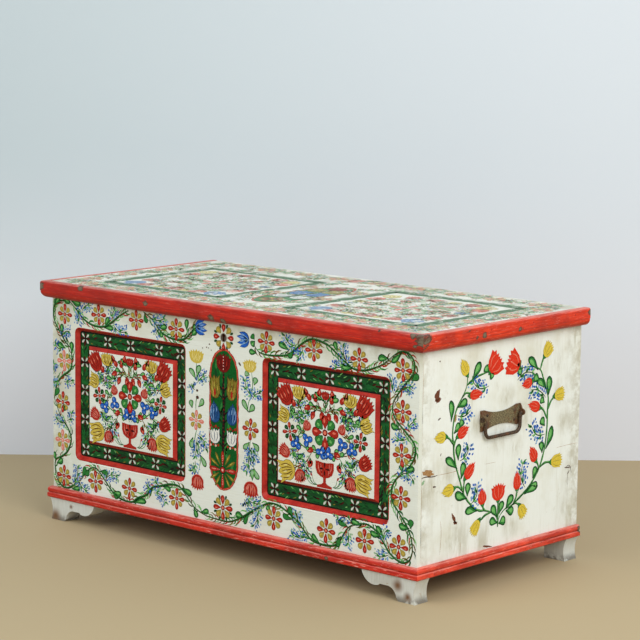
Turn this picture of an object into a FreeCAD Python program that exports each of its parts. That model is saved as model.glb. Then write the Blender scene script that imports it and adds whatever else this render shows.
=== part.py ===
import FreeCAD, Part

import math
import os
import re

import Sketcher

# A painted wedding chest: a dovetailed box with a facing that frames two sunk panels, a lid of three
# boards edged with mouldings, four sawn feet, a lock, two strap hinges and two drop handles.
# The origin lies on the floor under the middle of the whole chest. +X runs along its length to the
# right, the front looks along -Y and +Z is up. Sizes are in millimetres.

# The driving sizes. Each one can be changed by itself.
SIZES = {
    # Case
    "case_length": 1158,
    "case_depth": 573,
    "case_height": 510.8,
    "bottom_thickness": 20,
    "end_thickness": 22,
    "back_thickness": 20,
    "front_board_thickness": 20,
    "seam_height": 199,
    # Dovetails
    "tail_root": 38,
    "tail_spread": 50,
    # Facing and raised fields
    "facing_thickness": 11,
    "stile_width": 81,
    "muntin_width": 246,
    "panel_head": 82.8,
    "panel_sill": 106,
    "panel_slope": 5.5,
    "panel_slope_height": 8,
    "panel_corner": 14,
    "panel_floor_corner": 9,
    "moat_width": 31.75,
    "moat_height": 34.5,
    "field_thickness": 7,
    "field_bevel": 8,
    # Keyhole
    "keyhole_drop": 46.8,
    "keyhole_radius": 4.6,
    "keyhole_slot_width": 5.4,
    "keyhole_slot_drop": 14,
    # Plinth moulding
    "plinth_width": 11.3,
    "plinth_height": 26.9,
    "plinth_band_height": 12.6,
    "plinth_band_round": 3.5,
    "plinth_bead_share": 0.61,
    "plinth_lip": 5.5,
    # Feet
    "foot_height": 54,
    "foot_stock": 44,
    "foot_inset": 5,
    "foot_toe": 4.8,
    "foot_side_radius": 60,
    "foot_length": 157,
    "foot_lobe_length": 49,
    "foot_lobe_depth": 27.4,
    "foot_lobe_radius": 38,
    "foot_cusp": 3,
    "foot_cove_start": 82,
    "foot_cove_radius": 26,
    "foot_ankle_width": 57,
    "foot_ankle_height": 7,
    "foot_sole_width": 51,
    "rear_foot_width": 64,
    "peg_radius": 6,
    "peg_depth": 16,
    "peg_inset": 27,
    "peg_spacing": 83,
    # Lid
    "lid_thickness": 22,
    "lid_front_gap": 1,
    "lid_side_gap": 6.5,
    "moulding_width": 18,
    "moulding_height": 40.5,
    "moulding_proud": 0.6,
    "moulding_under_width": 12,
    "moulding_under_height": 16,
    "moulding_under_radius": 16,
    "moulding_arris": 0.9,
    "moulding_round": 5.5,
    # Till at the left end
    "till_width": 130,
    "till_height": 126,
    "till_lid_gap": 5,
    "till_front_thickness": 12,
    "till_bottom_thickness": 10,
    "till_housing": 6,
    # Hinges
    "sheet_iron": 2.5,
    "hinge_inset": 199,
    "hinge_clearance": 0.3,
    "knuckle_radius": 5.5,
    "knuckle_length": 12,
    "knuckle_gap": 0.5,
    "hinge_pin_radius": 3,
    "hinge_pin_clearance": 0.05,
    "hinge_pin_head": 2,
    "hinge_pin_head_radius": 4.4,
    "strap_width": 30,
    "strap_length": 260,
    "leaf_height": 96,
    # Lock
    "lock_width": 100,
    "lock_height": 70,
    "lock_depth": 22,
    "lock_wall": 2,
    "lock_gap": 6,
    "lock_flange": 12,
    "staple_iron": 6,
    "staple_width": 14,
    "staple_drop": 24,
    "staple_eye_width": 8.4,
    "staple_eye_height": 11,
    "staple_plate_length": 50,
    "staple_plate_width": 24,
    "staple_clearance": 1.5,
    "bolt_length": 40,
    "bolt_width": 6,
    "bolt_height": 8,
    "bolt_drop": 16,
    "bolt_tip": 5,
    "bolt_talon_width": 5,
    "bolt_talon_drop": 10,
    "bolt_clearance": 0.3,
    "bolt_guide": 3,
    "bolt_guide_inset": 4,
    "bolt_guide_spacing": 11,
    "bolt_catch_offset": 9,
    # Drop handles
    "handle_shift": 9,
    "handle_height": 317,
    "plate_length": 141,
    "plate_end_height": 46,
    "plate_tab": 14,
    "plate_waist_radius": 176,
    "plate_iron": 3,
    "ear_thickness": 3,
    "ear_foot": 4,
    "pivot_reach": 9,
    "pivot_rise": 4,
    "ear_radius": 7.5,
    "bail_radius": 4,
    "bail_clearance": 0.1,
    "bail_span": 123,
    "bail_drop": 42,
    "bail_corner": 16,
    "bail_bend": 6,
    "bail_head_gap": 0.5,
    "bail_head": 2.5,
    "bail_head_radius": 5.6,
    # Nails
    "nail_clearance": 0.1,
    "nail_radius": 1.8,
    "nail_head_radius": 4,
    "nail_head_height": 1.6,
    "brad_radius": 1.1,
    "brad_head_radius": 2.1,
    "brad_head_height": 1,
    "case_nail_length": 46,
    "plinth_nail_length": 26,
    "lid_nail_length": 38,
    "strap_nail_length": 18,
    "leaf_nail_length": 17,
    "plate_nail_length": 20,
    "lock_nail_length": 16,
    # How far a cutting tool runs past what it cuts
    "overrun": 2,
}

# Places worked out from the sizes.
PLACES = {
    "hinge_set": "knuckle_radius + hinge_clearance",
    "overall_depth": "moulding_width + lid_front_gap + case_depth + hinge_set + knuckle_radius",
    "front_face": "moulding_width + lid_front_gap - overall_depth / 2",
    "board_front": "front_face + facing_thickness",
    "inner_front": "board_front + front_board_thickness",
    "back_face": "front_face + case_depth",
    "inner_back": "back_face - back_thickness",
    "inner_depth": "inner_back - inner_front",
    "end_depth": "back_face - board_front",
    "case_half": "case_length / 2",
    "inner_half": "case_half - end_thickness",
    "inner_length": "2 * inner_half",
    "wall_foot": "foot_height + bottom_thickness",
    "case_top": "foot_height + case_height",
    "wall_height": "case_top - wall_foot",
    "seam_level": "foot_height + seam_height",
    "lower_plank": "seam_level - wall_foot",
    "upper_plank": "case_top - seam_level",
    "bottom_board_width": "case_depth / 3",
    "panel_width": "(case_length - muntin_width) / 2 - stile_width",
    "panel_height": "case_height - panel_head - panel_sill",
    "panel_offset": "(muntin_width + panel_width) / 2",
    "panel_level": "foot_height + panel_sill + panel_height / 2",
    "floor_half_width": "panel_width / 2 - panel_slope",
    "floor_half_height": "panel_height / 2 - panel_slope_height",
    "field_half_width": "floor_half_width - moat_width",
    "field_half_height": "floor_half_height - moat_height",
    "keyhole_level": "case_top - keyhole_drop",
    "front_thickness": "facing_thickness + front_board_thickness",
    "plinth_front": "front_face - plinth_width",
    "plinth_bead_radius": "plinth_bead_share * (plinth_height - plinth_band_height)",
    "foot_side": "case_half + plinth_width - foot_inset",
    "foot_back": "plinth_front + foot_inset + foot_stock",
    "lid_front": "front_face - lid_front_gap",
    "lid_half": "case_half + lid_side_gap",
    "lid_length": "2 * lid_half",
    "lid_depth": "back_face - lid_front",
    "lid_board_width": "lid_depth / 3",
    "lid_middle": "case_top + lid_thickness / 2",
    "moulding_front": "lid_front - moulding_width",
    "moulding_foot": "case_top + lid_thickness + moulding_proud - moulding_height",
    "till_level": "case_top - till_lid_gap - till_height",
    "till_wall": "till_width - inner_half",
    "housed_front": "inner_front - till_housing",
    "housed_depth": "inner_depth + 2 * till_housing",
    "pivot_line": "back_face + hinge_set",
    "hinge_offset": "case_half - hinge_inset",
    "leaf_width": "strap_width + 2 * knuckle_length + 2 * knuckle_gap",
    "leaf_left": "hinge_offset - leaf_width / 2",
    "leaf_top": "case_top - knuckle_radius - hinge_clearance",
    "lock_top": "case_top - lock_gap",
    "lock_foot": "lock_top - lock_height",
    "lock_line": "inner_front + (lock_depth - lock_wall) / 2",
    "bolt_level": "case_top - bolt_drop",
    "handle_line": "(front_face + back_face) / 2 - handle_shift",
    "plate_level": "foot_height + handle_height",
    "pivot_level": "plate_level + pivot_rise",
    "pivot_out": "case_half + pivot_reach",
    "ear_face": "plate_length / 2",
    "bail_end": "ear_face + bail_head_gap + bail_head",
}

# Where the dovetails lie in each plank, as shares of its height.
LOWER_TAIL_SHARES = (0.27, 0.73)
UPPER_TAIL_SHARES = (0.18, 0.5, 0.82)
# Where nails lie, as shares of the length, width or height that they follow.
CASE_NAIL_SHARES = (-0.4, -0.2, 0, 0.2, 0.4)
END_NAIL_SHARES = (1 / 6, 1 / 2, 5 / 6)
PLINTH_NAIL_SHARES = (-0.45, -0.15, 0.15, 0.45)
PLINTH_SIDE_SHARES = (0.08, 0.36, 0.64, 0.92)
LID_NAIL_SHARES = (-0.42, -0.21, 0, 0.21, 0.42)
LID_SIDE_SHARES = (0.1, 0.37, 0.63, 0.9)
STRAP_NAIL_SHARES = (0.2, 0.5, 0.8)
LEAF_NAIL_SHARES = ((0.2, 0.2), (0.8, 0.2), (0.5, 0.75))
PLATE_NAIL_SHARES = ((-0.34, -0.22), (-0.34, 0.22), (0.34, -0.22), (0.34, 0.22))
LOCK_NAIL_SHARES = (0.2, 0.8)
STAPLE_NAIL_SHARES = (-0.36, 0.36)
# A forged nail's head is narrower at its top, by this share.
HEAD_TOP_SHARE = 0.55

RIGHT, LEFT = (1, 0, 0), (-1, 0, 0)
BACK, FRONT = (0, 1, 0), (0, -1, 0)
UP, DOWN = (0, 0, 1), (0, 0, -1)
ORIGIN = ("0", "0", "0")
NAMES = re.compile(r"\b(" + "|".join([*SIZES, *PLACES]) + r")\b")
# A sketch's own plane stood up to face the front, or to face the right.
FACING_FRONT = FreeCAD.Rotation(FreeCAD.Vector(*RIGHT), 90)
FACING_RIGHT = FreeCAD.Rotation(FreeCAD.Vector(1, 1, 1), 120)
QUARTER_TURN = FreeCAD.Rotation(FreeCAD.Vector(*UP), -90)

doc = FreeCAD.newDocument("WeddingChest")
sheet = doc.addObject("Spreadsheet::Sheet", "Sizes")
subparts = []


def fill_sheet():
    """One row for each value: its name, and its number or formula."""
    rows = [*SIZES.items(), *((name, "=" + formula) for name, formula in PLACES.items())]
    for row, (name, content) in enumerate(rows, start=1):
        sheet.set(f"A{row}", name)
        sheet.set(f"B{row}", str(content))
        sheet.setAlias(f"B{row}", name)
    doc.recompute()


def bound(text):
    """The expression that a property is bound to."""
    return NAMES.sub(r"Sizes.\1", text)


def measure(text):
    """What an expression comes to now, because a sketch is drawn before it is bound."""
    result = sheet.evalExpression(bound(text))
    return float(getattr(result, "Value", result))


def bind(made, **sizes):
    for name, text in sizes.items():
        made.setExpression(name, bound(text))
    return made


def place(made, corner, rotation=None):
    """Puts an object at a corner, turned if asked, and keeps the corner bound to the sheet."""
    if rotation:
        made.Placement = FreeCAD.Placement(FreeCAD.Vector(), rotation)
    for axis, text in zip("xyz", corner):
        made.setExpression(".Placement.Base." + axis, bound(text))
    return made


def facing(direction):
    return FreeCAD.Rotation(FreeCAD.Vector(*UP), FreeCAD.Vector(*direction))


def moved(spot, direction, distance):
    """A place that lies a distance from another along a direction."""
    return tuple(f"{text} + {step} * ({distance})" for text, step in zip(spot, direction))


def box(name, corner, length, width, height):
    made = doc.addObject("Part::Box", name)
    bind(made, Length=length, Width=width, Height=height)
    return place(made, corner)


def cylinder(name, spot, direction, radius, height):
    made = doc.addObject("Part::Cylinder", name)
    bind(made, Radius=radius, Height=height)
    return place(made, spot, facing(direction))


def wedge(name, corner, near, far, turn=None):
    """A block that tapers along its own Y, between two ends given as Y, X range and Z range."""
    made = doc.addObject("Part::Wedge", name)
    for prefix, end, (depth, across, levels) in (("", "Ymin", near), ("2", "Ymax", far)):
        made.setExpression(end, bound(depth))
        for axis, span in (("X", across), ("Z", levels)):
            for limit, text in zip(("min", "max"), span):
                made.setExpression(axis + prefix + limit, bound(text))
    return place(made, corner, turn)


def joined(name, shapes):
    if len(shapes) == 1:
        return shapes[0]
    made = doc.addObject("Part::MultiFuse", name)
    made.Shapes = shapes
    return made


def cut(name, base, *tools):
    made = doc.addObject("Part::Cut", name)
    made.Base = base
    made.Tool = joined(name + "_tools", list(tools))
    return made


def mirrored(name, source):
    """The left twin of a right-hand piece."""
    made = doc.addObject("Part::Mirroring", name)
    made.Source = source
    made.Normal = FreeCAD.Vector(*RIGHT)
    return made


def paired(name, shapes):
    """Right-hand shapes and their left twins, as one object."""
    right = joined(name + "_right", shapes)
    return joined(name, [right, mirrored(name + "_left", right)])


def subpart(made, label):
    made.Label = label
    subparts.append(made)
    return made


def twins(made, label):
    """A right-hand subpart and its mirror image on the left. The label has SIDE in it."""
    subpart(made, label.replace("SIDE", "right"))
    name = label.replace("SIDE", "left")
    return subpart(mirrored(name + "_twin", made), name)


def tie(sketch, edge, end, corner):
    """Ties one end of an edge to a corner's two distances from the sketch's origin."""
    for kind, text in zip(("DistanceX", "DistanceY"), corner):
        number = sketch.addConstraint(Sketcher.Constraint(kind, -1, 1, edge, end, measure(text)))
        sketch.setExpression(f"Constraints[{number}]", bound(text))


def arc(sketch, start, end, radius, bulge):
    """An arc from start to end that bulges to the right of that direction at 1, to the left at -1."""
    chord = end - start
    left = FreeCAD.Vector(-chord.y, chord.x, 0).normalize()
    reach = math.sqrt(max(measure(radius) ** 2 - (chord.Length / 2) ** 2, 0))
    centre = start + chord * 0.5 + left * (reach * bulge)
    ends = (start, end) if bulge > 0 else (end, start)
    angles = [math.atan2(point.y - centre.y, point.x - centre.x) for point in ends]
    circle = Part.Circle(centre, FreeCAD.Vector(*UP), measure(radius))
    edge = sketch.addGeometry(Part.ArcOfCircle(circle, *angles))
    number = sketch.addConstraint(Sketcher.Constraint("Radius", edge, measure(radius)))
    sketch.setExpression(f"Constraints[{number}]", bound(radius))
    return edge


def draw(sketch, corners, rounds, closed=True):
    """Draws an outline through corners, with each corner and radius bound to the sheet.
    rounds gives the radius and the bulge of each side that is an arc."""
    points = [FreeCAD.Vector(measure(across), measure(up), 0) for across, up in corners]
    first = previous = None
    for side in range(len(points) if closed else len(points) - 1):
        start, end = points[side], points[(side + 1) % len(points)]
        radius, bulge = rounds.get(side, (None, 1))
        if radius:
            edge = arc(sketch, start, end, radius, bulge)
        else:
            edge = sketch.addGeometry(Part.LineSegment(start, end))
        near, far = (1, 2) if bulge > 0 else (2, 1)
        tie(sketch, edge, near, corners[side])
        if previous:
            sketch.addConstraint(Sketcher.Constraint("Coincident", *previous, edge, near))
        first = first or (edge, near)
        previous = (edge, far)
    if closed:
        sketch.addConstraint(Sketcher.Constraint("Coincident", *previous, *first))
    else:
        tie(sketch, *previous, corners[-1])


def outline(name, corners, rounds, corner, rotation, closed=True):
    """A sketch that stands by itself."""
    sketch = doc.addObject("Sketcher::SketchObject", name)
    draw(sketch, corners, rounds, closed)
    return place(sketch, corner, rotation)


def sawn(name, plane, corners, rounds, thickness, corner, rotation=None):
    """A piece sawn to an outline: a sketch on one of the body's planes, padded to its thickness."""
    body = doc.addObject("PartDesign::Body", name)
    sketch = body.newObject("Sketcher::SketchObject", name + "_outline")
    holder = next(feature for feature in body.Origin.OriginFeatures if feature.Role == plane)
    sketch.AttachmentSupport = (holder, [""])
    sketch.MapMode = "FlatFace"
    draw(sketch, corners, rounds)
    pad = body.newObject("PartDesign::Pad", name + "_pad")
    pad.Profile = sketch
    bind(pad, Length=thickness)
    return place(body, corner, rotation)


def nails(name, kind, length, places, direction, sunk=False):
    """Nails driven along a direction from places on a surface, and the holes that take them.
    A sunk head lies under the surface, and any other stands on it."""
    solids, holes = [], []
    head, rise = f"{kind}_head_radius", f"{kind}_head_height"
    away = tuple(-step for step in direction)
    for number, spot in enumerate(places, start=1):
        tag = f"{name}_{number}"
        seat = moved(spot, direction, rise) if sunk else spot
        solids.append(cylinder(tag + "_shank", seat, direction, f"{kind}_radius", length))
        holes.append(hole(tag + "_hole", seat, direction, f"{kind}_radius", length))
        if sunk:
            solids.append(cylinder(tag + "_head", seat, away, head, rise))
            holes.append(cylinder(tag + "_sink", seat, away, f"{head} + nail_clearance", rise))
        else:
            solids.append(rose_head(tag + "_head", seat, away, head, rise))
    return solids, holes


def hole(name, spot, direction, radius, depth):
    """A hole a little wider and deeper than what goes in it."""
    return cylinder(name, spot, direction, f"{radius} + nail_clearance", f"{depth} + nail_clearance")


def rose_head(name, seat, away, radius, rise):
    made = doc.addObject("Part::Cone", name)
    bind(made, Radius1=radius, Radius2=f"{radius} * {HEAD_TOP_SHARE}", Height=rise)
    return place(made, seat, facing(away))


def tails(name, back, thickness, foot, height, shares):
    """The dovetails at the right end of a front or back board."""
    made = []
    across = ("0", thickness)
    root = ("0", across, ("-tail_root / 2", "tail_root / 2"))
    spread = ("end_thickness", across, ("-tail_spread / 2", "tail_spread / 2"))
    for number, share in enumerate(shares, start=1):
        corner = ("inner_half", back, f"{foot} + {height} * {share}")
        made.append(wedge(f"{name}_tail_{number}", corner, root, spread, QUARTER_TURN))
    return joined(name + "_tails", made)


def mitre(name, inner, outer, width, foot, height, spare):
    """The tool that cuts a 45 degree mitre at the front right corner of a moulding.
    inner is the X of the case there, outer the Y of the moulding's face, and spare the piece kept."""
    near, far = f"{inner} + {width} + overrun", f"{inner} - overrun"
    levels = (f"{foot} - overrun", f"{foot} + {height} + overrun")
    if spare == "front":
        spans = (near, f"{near} + {width}"), (far, f"{near} + {width}")
    else:
        spans = (f"{far} - {width}", near), (f"{far} - {width}", far)
    depths = f"{outer} - overrun", f"{outer} + {width} + overrun"
    ends = [(depth, span, levels) for depth, span in zip(depths, spans)]
    return wedge(name, ORIGIN, *ends)


def edging(name, profile, rounds, inner, outer, width, foot, height):
    """The blanks of a moulding's front and right runs, mitred at the front and square at the back."""
    corner = (f"{inner} + {width}", f"{outer} + {width}", foot)
    run = f"2 * ({inner} + {width})"
    front = sawn(name + "_front_run", "XZ_Plane", profile, rounds, run, corner, QUARTER_TURN)
    run = f"back_face - ({outer})"
    side = sawn(name + "_side_run", "XZ_Plane", profile, rounds, run, (inner, "back_face", foot))
    front_mitre = mitre(name + "_front_mitre", inner, outer, width, foot, height, "front")
    side_mitre = mitre(name + "_side_mitre", inner, outer, width, foot, height, "side")
    front_blank = cut(name + "_front_blank", front, paired(name + "_front_mitres", [front_mitre]))
    return front_blank, cut(name + "_side_blank", side, side_mitre)


def rounded_rectangle(half_width, half_height, radius):
    """Corners and rounds of a rectangle about its own middle."""
    wide, tall = f"{half_width} - {radius}", f"{half_height} - {radius}"
    corners = [
        (f"-({wide})", f"-({half_height})"),
        (wide, f"-({half_height})"),
        (half_width, f"-({tall})"),
        (half_width, tall),
        (wide, half_height),
        (f"-({wide})", half_height),
        (f"-({half_width})", tall),
        (f"-({half_width})", f"-({tall})"),
    ]
    return corners, {side: (radius, 1) for side in (1, 3, 5, 7)}


fill_sheet()


# The nails that go up through the bottom boards into the walls
def below(across, depth):
    return (across, depth, "foot_height")


rows = ("board_front + front_board_thickness / 2", "back_face - back_thickness / 2")
spots = [below(f"case_length * {share}", row) for row in rows for share in CASE_NAIL_SHARES]
row_nails, row_holes = nails("wall_nail", "nail", "case_nail_length", spots, UP, sunk=True)
line = "case_half - end_thickness / 2"
spots = [below(line, f"front_face + case_depth * {share}") for share in END_NAIL_SHARES]
end_nails, end_holes = nails("end_nail", "nail", "case_nail_length", spots, UP, sunk=True)
subpart(joined("case_nail_set", [*row_nails, paired("end_nails", end_nails)]), "case_nails")
case_holes = joined("case_holes", [*row_holes, paired("end_holes", end_holes)])

# The pegs that hold the feet, two in each front foot and one in each rear foot
peg_length = "bottom_thickness + peg_depth"
peg_lines = (("foot_side - peg_inset", "foot_back - foot_stock / 2"),
             ("foot_side - peg_inset - peg_spacing", "foot_back - foot_stock / 2"),
             ("foot_side - rear_foot_width / 2", "back_face - foot_stock / 2"))
pegs = [cylinder(f"peg_{number}", (*line, "wall_foot"), DOWN, "peg_radius", peg_length)
        for number, line in enumerate(peg_lines, start=1)]
subpart(paired("peg_set", pegs), "foot_pegs")
peg_holes = paired("peg_holes", [
    hole(f"peg_hole_{number}", (*line, "wall_foot"), DOWN, "peg_radius", peg_length)
    for number, line in enumerate(peg_lines, start=1)])

# The bottom: three boards side by side under the walls
level = "foot_height + plinth_band_height / 2"
spots = [(f"case_length * {share}", "plinth_front", level) for share in PLINTH_NAIL_SHARES]
front_brads, front_brad_holes = nails("plinth_brad", "brad", "plinth_nail_length", spots, BACK, sunk=True)
face = "case_half + plinth_width"
spots = [(face, f"front_face + case_depth * {share}", level) for share in PLINTH_SIDE_SHARES]
side_brads, side_brad_holes = nails("plinth_side_brad", "brad", "plinth_nail_length", spots, LEFT, sunk=True)
subpart(joined("plinth_nail_set", [*front_brads, paired("side_brads", side_brads)]), "plinth_nails")
plinth_holes = joined("plinth_holes", [*front_brad_holes, paired("side_brad_holes", side_brad_holes)])

for number, name in enumerate(("front", "middle", "rear")):
    corner = ("-case_half", f"front_face + {number} * bottom_board_width", "foot_height")
    board = box(f"bottom_{name}_blank", corner, "case_length", "bottom_board_width", "bottom_thickness")
    subpart(cut(f"bottom_{name}", board, case_holes, peg_holes, plinth_holes), f"bottom_board_{name}")

# The plinth moulding: a rounded band at the foot and a bead above it
profile = [
    ("0", "0"),
    ("plinth_width - plinth_band_round", "0"),
    ("plinth_width", "plinth_band_round"),
    ("plinth_width", "plinth_band_height - plinth_band_round"),
    ("plinth_width - plinth_band_round", "plinth_band_height"),
    ("plinth_lip", "plinth_height"),
    ("0", "plinth_height"),
]
rounds = {1: ("plinth_band_round", 1), 3: ("plinth_band_round", 1), 4: ("plinth_bead_radius", 1)}
front, side = edging("plinth", profile, rounds, "case_half", "plinth_front", "plinth_width",
                     "foot_height", "plinth_height")
subpart(cut("plinth_front_run_drilled", front, plinth_holes), "plinth_front_moulding")
twins(cut("plinth_side_run_drilled", side, plinth_holes), "plinth_SIDE_moulding")

# The feet: long scrolled ones in front, short blocks behind, hollowed on their outer sides
scroll = [
    ("-foot_toe", "0"),
    ("0", "foot_height"),
    ("-foot_length", "foot_height"),
    ("foot_lobe_length - foot_length", "foot_height - foot_lobe_depth"),
    ("foot_lobe_length + foot_cusp - foot_length", "foot_height - foot_lobe_depth + foot_cusp"),
    ("-foot_cove_start", "foot_height - foot_lobe_depth + foot_cusp"),
    ("-foot_ankle_width", "foot_ankle_height"),
    ("-foot_sole_width", "0"),
]
rounds = {0: ("foot_side_radius", -1), 2: ("foot_lobe_radius", 1), 5: ("foot_cove_radius", -1)}
blank = sawn("front_foot", "XZ_Plane", scroll, rounds, "foot_stock", ("foot_side", "foot_back", "0"))
twins(cut("front_foot_drilled", blank, peg_holes), "foot_front_SIDE")
block = [
    ("-foot_toe", "0"),
    ("0", "foot_height"),
    ("-rear_foot_width", "foot_height"),
    ("-rear_foot_width", "0"),
]
rounds = {0: ("foot_side_radius", -1)}
blank = sawn("rear_foot", "XZ_Plane", block, rounds, "foot_stock", ("foot_side", "back_face", "0"))
twins(cut("rear_foot_drilled", blank, peg_holes), "foot_rear_SIDE")

# The till: an open tray at the left end, housed in the front and back boards
till_front = box("till_front_board", ("till_wall", "housed_front", "till_level"),
                 "till_front_thickness", "housed_depth", "till_height")
subpart(till_front, "till_front")
till_bottom = box("till_bottom_board", ("-inner_half", "housed_front", "till_level"),
                  "till_width", "housed_depth", "till_bottom_thickness")
subpart(till_bottom, "till_bottom")

# The keyhole, through the facing and the board behind it
spot = ("0", "front_face - overrun", "keyhole_level")
reach = "front_thickness + 2 * overrun"
keyhole = joined("keyhole", [
    cylinder("keyhole_eye", spot, BACK, "keyhole_radius", reach),
    box("keyhole_slot", ("-keyhole_slot_width / 2", "front_face - overrun", "keyhole_level - keyhole_slot_drop"),
        "keyhole_slot_width", reach, "keyhole_slot_drop"),
])

# The lock: an iron case open to the front board, with guides that carry the bolt
corner = ("-lock_width / 2", "inner_front", "lock_foot")
shell = box("lock_shell", corner, "lock_width", "lock_depth", "lock_height")
flange = box("lock_flange_sheet", ("-lock_width / 2 - lock_flange", "inner_front", "lock_foot"),
             "lock_width + 2 * lock_flange", "lock_wall", "lock_height")
cavity = box("lock_cavity", ("lock_wall - lock_width / 2", "inner_front - overrun", "lock_foot + lock_wall"),
             "lock_width - 2 * lock_wall", "lock_depth - lock_wall + overrun", "lock_height - 2 * lock_wall")
slot = box("lock_slot", ("-staple_iron / 2 - staple_clearance",
                         "lock_line - staple_width / 2 - staple_clearance", "lock_top - lock_wall - overrun"),
           "staple_iron + 2 * staple_clearance", "staple_width + 2 * staple_clearance", "lock_wall + 2 * overrun")
guide_lines = ("bolt_tip + bolt_guide_inset", "bolt_tip + bolt_guide_inset + bolt_guide_spacing",
               "-bolt_catch_offset - bolt_guide")
guides = [box(f"lock_guide_{number}", (line, "inner_front", "bolt_level - bolt_height"), "bolt_guide",
              "lock_depth - lock_wall", "lock_top - bolt_level + bolt_height")
          for number, line in enumerate(guide_lines, start=1)]
passage = box("bolt_passage", ("-bolt_catch_offset - bolt_guide - overrun",
                               "lock_line - bolt_width / 2 - bolt_clearance",
                               "bolt_level - bolt_height / 2 - bolt_clearance"),
              "bolt_catch_offset + 2 * overrun + bolt_tip + bolt_guide_inset + bolt_guide_spacing + 2 * bolt_guide",
              "bolt_width + 2 * bolt_clearance", "bolt_height + 2 * bolt_clearance")
spots = [("lock_width / 2 + lock_flange / 2", "inner_front + lock_wall", f"lock_foot + lock_height * {share}")
         for share in LOCK_NAIL_SHARES]
solids, holes = nails("lock_nail", "nail", "lock_nail_length", spots, FRONT)
subpart(paired("lock_nail_set", solids), "lock_nails")
lock_holes = paired("lock_holes", holes)
hollow = cut("lock_hollow", joined("lock_sheet", [shell, flange]), cavity, slot, lock_holes)
subpart(cut("lock_with_guides", joined("lock_guided", [hollow, *guides]), passage), "lock_case")
bar = box("bolt_bar", ("bolt_tip", "lock_line - bolt_width / 2", "bolt_level - bolt_height / 2"),
          "bolt_length", "bolt_width", "bolt_height")
talon = box("bolt_talon", ("bolt_tip + bolt_length - bolt_talon_width", "lock_line - bolt_width / 2",
                           "bolt_level - bolt_height / 2 - bolt_talon_drop"),
            "bolt_talon_width", "bolt_width", "bolt_talon_drop")
subpart(joined("bolt", [bar, talon]), "lock_bolt")

# The front: a board with tails at its ends, the facing over it and a raised field in each panel
core = box("front_core", ("-inner_half", "board_front", "wall_foot"), "inner_length",
           "front_board_thickness", "wall_height")
front_tails = joined("front_right_tails", [
    tails("front_lower", "inner_front", "front_board_thickness", "wall_foot", "lower_plank", LOWER_TAIL_SHARES),
    tails("front_upper", "inner_front", "front_board_thickness", "seam_level", "upper_plank", UPPER_TAIL_SHARES),
])
blank = joined("front_blank", [core, front_tails, mirrored("front_left_tails", front_tails)])
subpart(cut("front_worked", blank, keyhole, case_holes, lock_holes, till_front, till_bottom), "front_board")

mouth = rounded_rectangle("panel_width / 2", "panel_height / 2", "panel_corner")
floor = rounded_rectangle("floor_half_width", "floor_half_height", "panel_floor_corner")
opening = doc.addObject("Part::Loft", "panel_opening")
opening.Sections = [
    outline("panel_mouth", *mouth, ("panel_offset", "front_face", "panel_level"), FACING_FRONT),
    outline("panel_floor", *floor, ("panel_offset", "board_front", "panel_level"), FACING_FRONT),
]
opening.Solid = True
opening.Ruled = True
sheet_blank = box("facing_blank", ("-case_half", "front_face", "wall_foot"), "case_length",
                  "facing_thickness", "wall_height")
subpart(cut("facing_worked", sheet_blank, paired("panel_openings", [opening]), keyhole), "front_facing")

top = ("-field_thickness", ("field_bevel - field_half_width", "field_half_width - field_bevel"),
       ("field_bevel - field_half_height", "field_half_height - field_bevel"))
foot = ("0", ("-field_half_width", "field_half_width"), ("-field_half_height", "field_half_height"))
twins(wedge("field", ("panel_offset", "board_front", "panel_level"), top, foot), "front_field_SIDE")

# The hinges: a leaf on the back, a strap let into the lid and a pin through their knuckles
knuckle_lines = ("leaf_left", "leaf_left + knuckle_length + 2 * knuckle_gap + strap_width")
leaf = [box("leaf_sheet", ("leaf_left", "back_face", "leaf_top - leaf_height"), "leaf_width",
            "sheet_iron", "leaf_height")]
for number, line in enumerate(knuckle_lines, start=1):
    leaf.append(box(f"leaf_neck_{number}", (line, "back_face", "leaf_top - overrun"), "knuckle_length",
                    "sheet_iron", "case_top - leaf_top + overrun"))
    leaf.append(cylinder(f"leaf_knuckle_{number}", (line, "pivot_line", "case_top"), RIGHT,
                         "knuckle_radius", "knuckle_length"))
spots = [(f"leaf_left + leaf_width * {across}", "back_face + sheet_iron", f"leaf_top - leaf_height * {down}")
         for across, down in LEAF_NAIL_SHARES]
solids, holes = nails("leaf_nail", "nail", "leaf_nail_length", spots, FRONT)
subpart(paired("leaf_nail_set", solids), "leaf_nails")
leaf_holes = paired("leaf_holes", holes)
bore = cylinder("hinge_bore", ("leaf_left - overrun", "pivot_line", "case_top"), RIGHT,
                "hinge_pin_radius + hinge_pin_clearance", "leaf_width + 2 * overrun")
twins(cut("leaf_worked", joined("leaf_blank", leaf), bore, leaf_holes), "hinge_leaf_SIDE")
pin = [
    cylinder("pin_shaft", ("leaf_left", "pivot_line", "case_top"), RIGHT, "hinge_pin_radius", "leaf_width"),
    cylinder("pin_head", ("leaf_left", "pivot_line", "case_top"), LEFT, "hinge_pin_head_radius", "hinge_pin_head"),
    cylinder("pin_tail", ("leaf_left + leaf_width", "pivot_line", "case_top"), RIGHT,
             "hinge_pin_head_radius", "hinge_pin_head"),
]
twins(joined("hinge_pin", pin), "hinge_pin_SIDE")
strap = [
    box("strap_sheet", ("hinge_offset - strap_width / 2", "pivot_line - strap_length", "case_top"),
        "strap_width", "strap_length", "sheet_iron"),
    cylinder("strap_tip", ("hinge_offset", "pivot_line - strap_length", "case_top"), UP,
             "strap_width / 2", "sheet_iron"),
    cylinder("strap_knuckle", ("hinge_offset - strap_width / 2", "pivot_line", "case_top"), RIGHT,
             "knuckle_radius", "strap_width"),
]
spots = [("hinge_offset", f"pivot_line - strap_length * {share}", "case_top") for share in STRAP_NAIL_SHARES]
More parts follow.
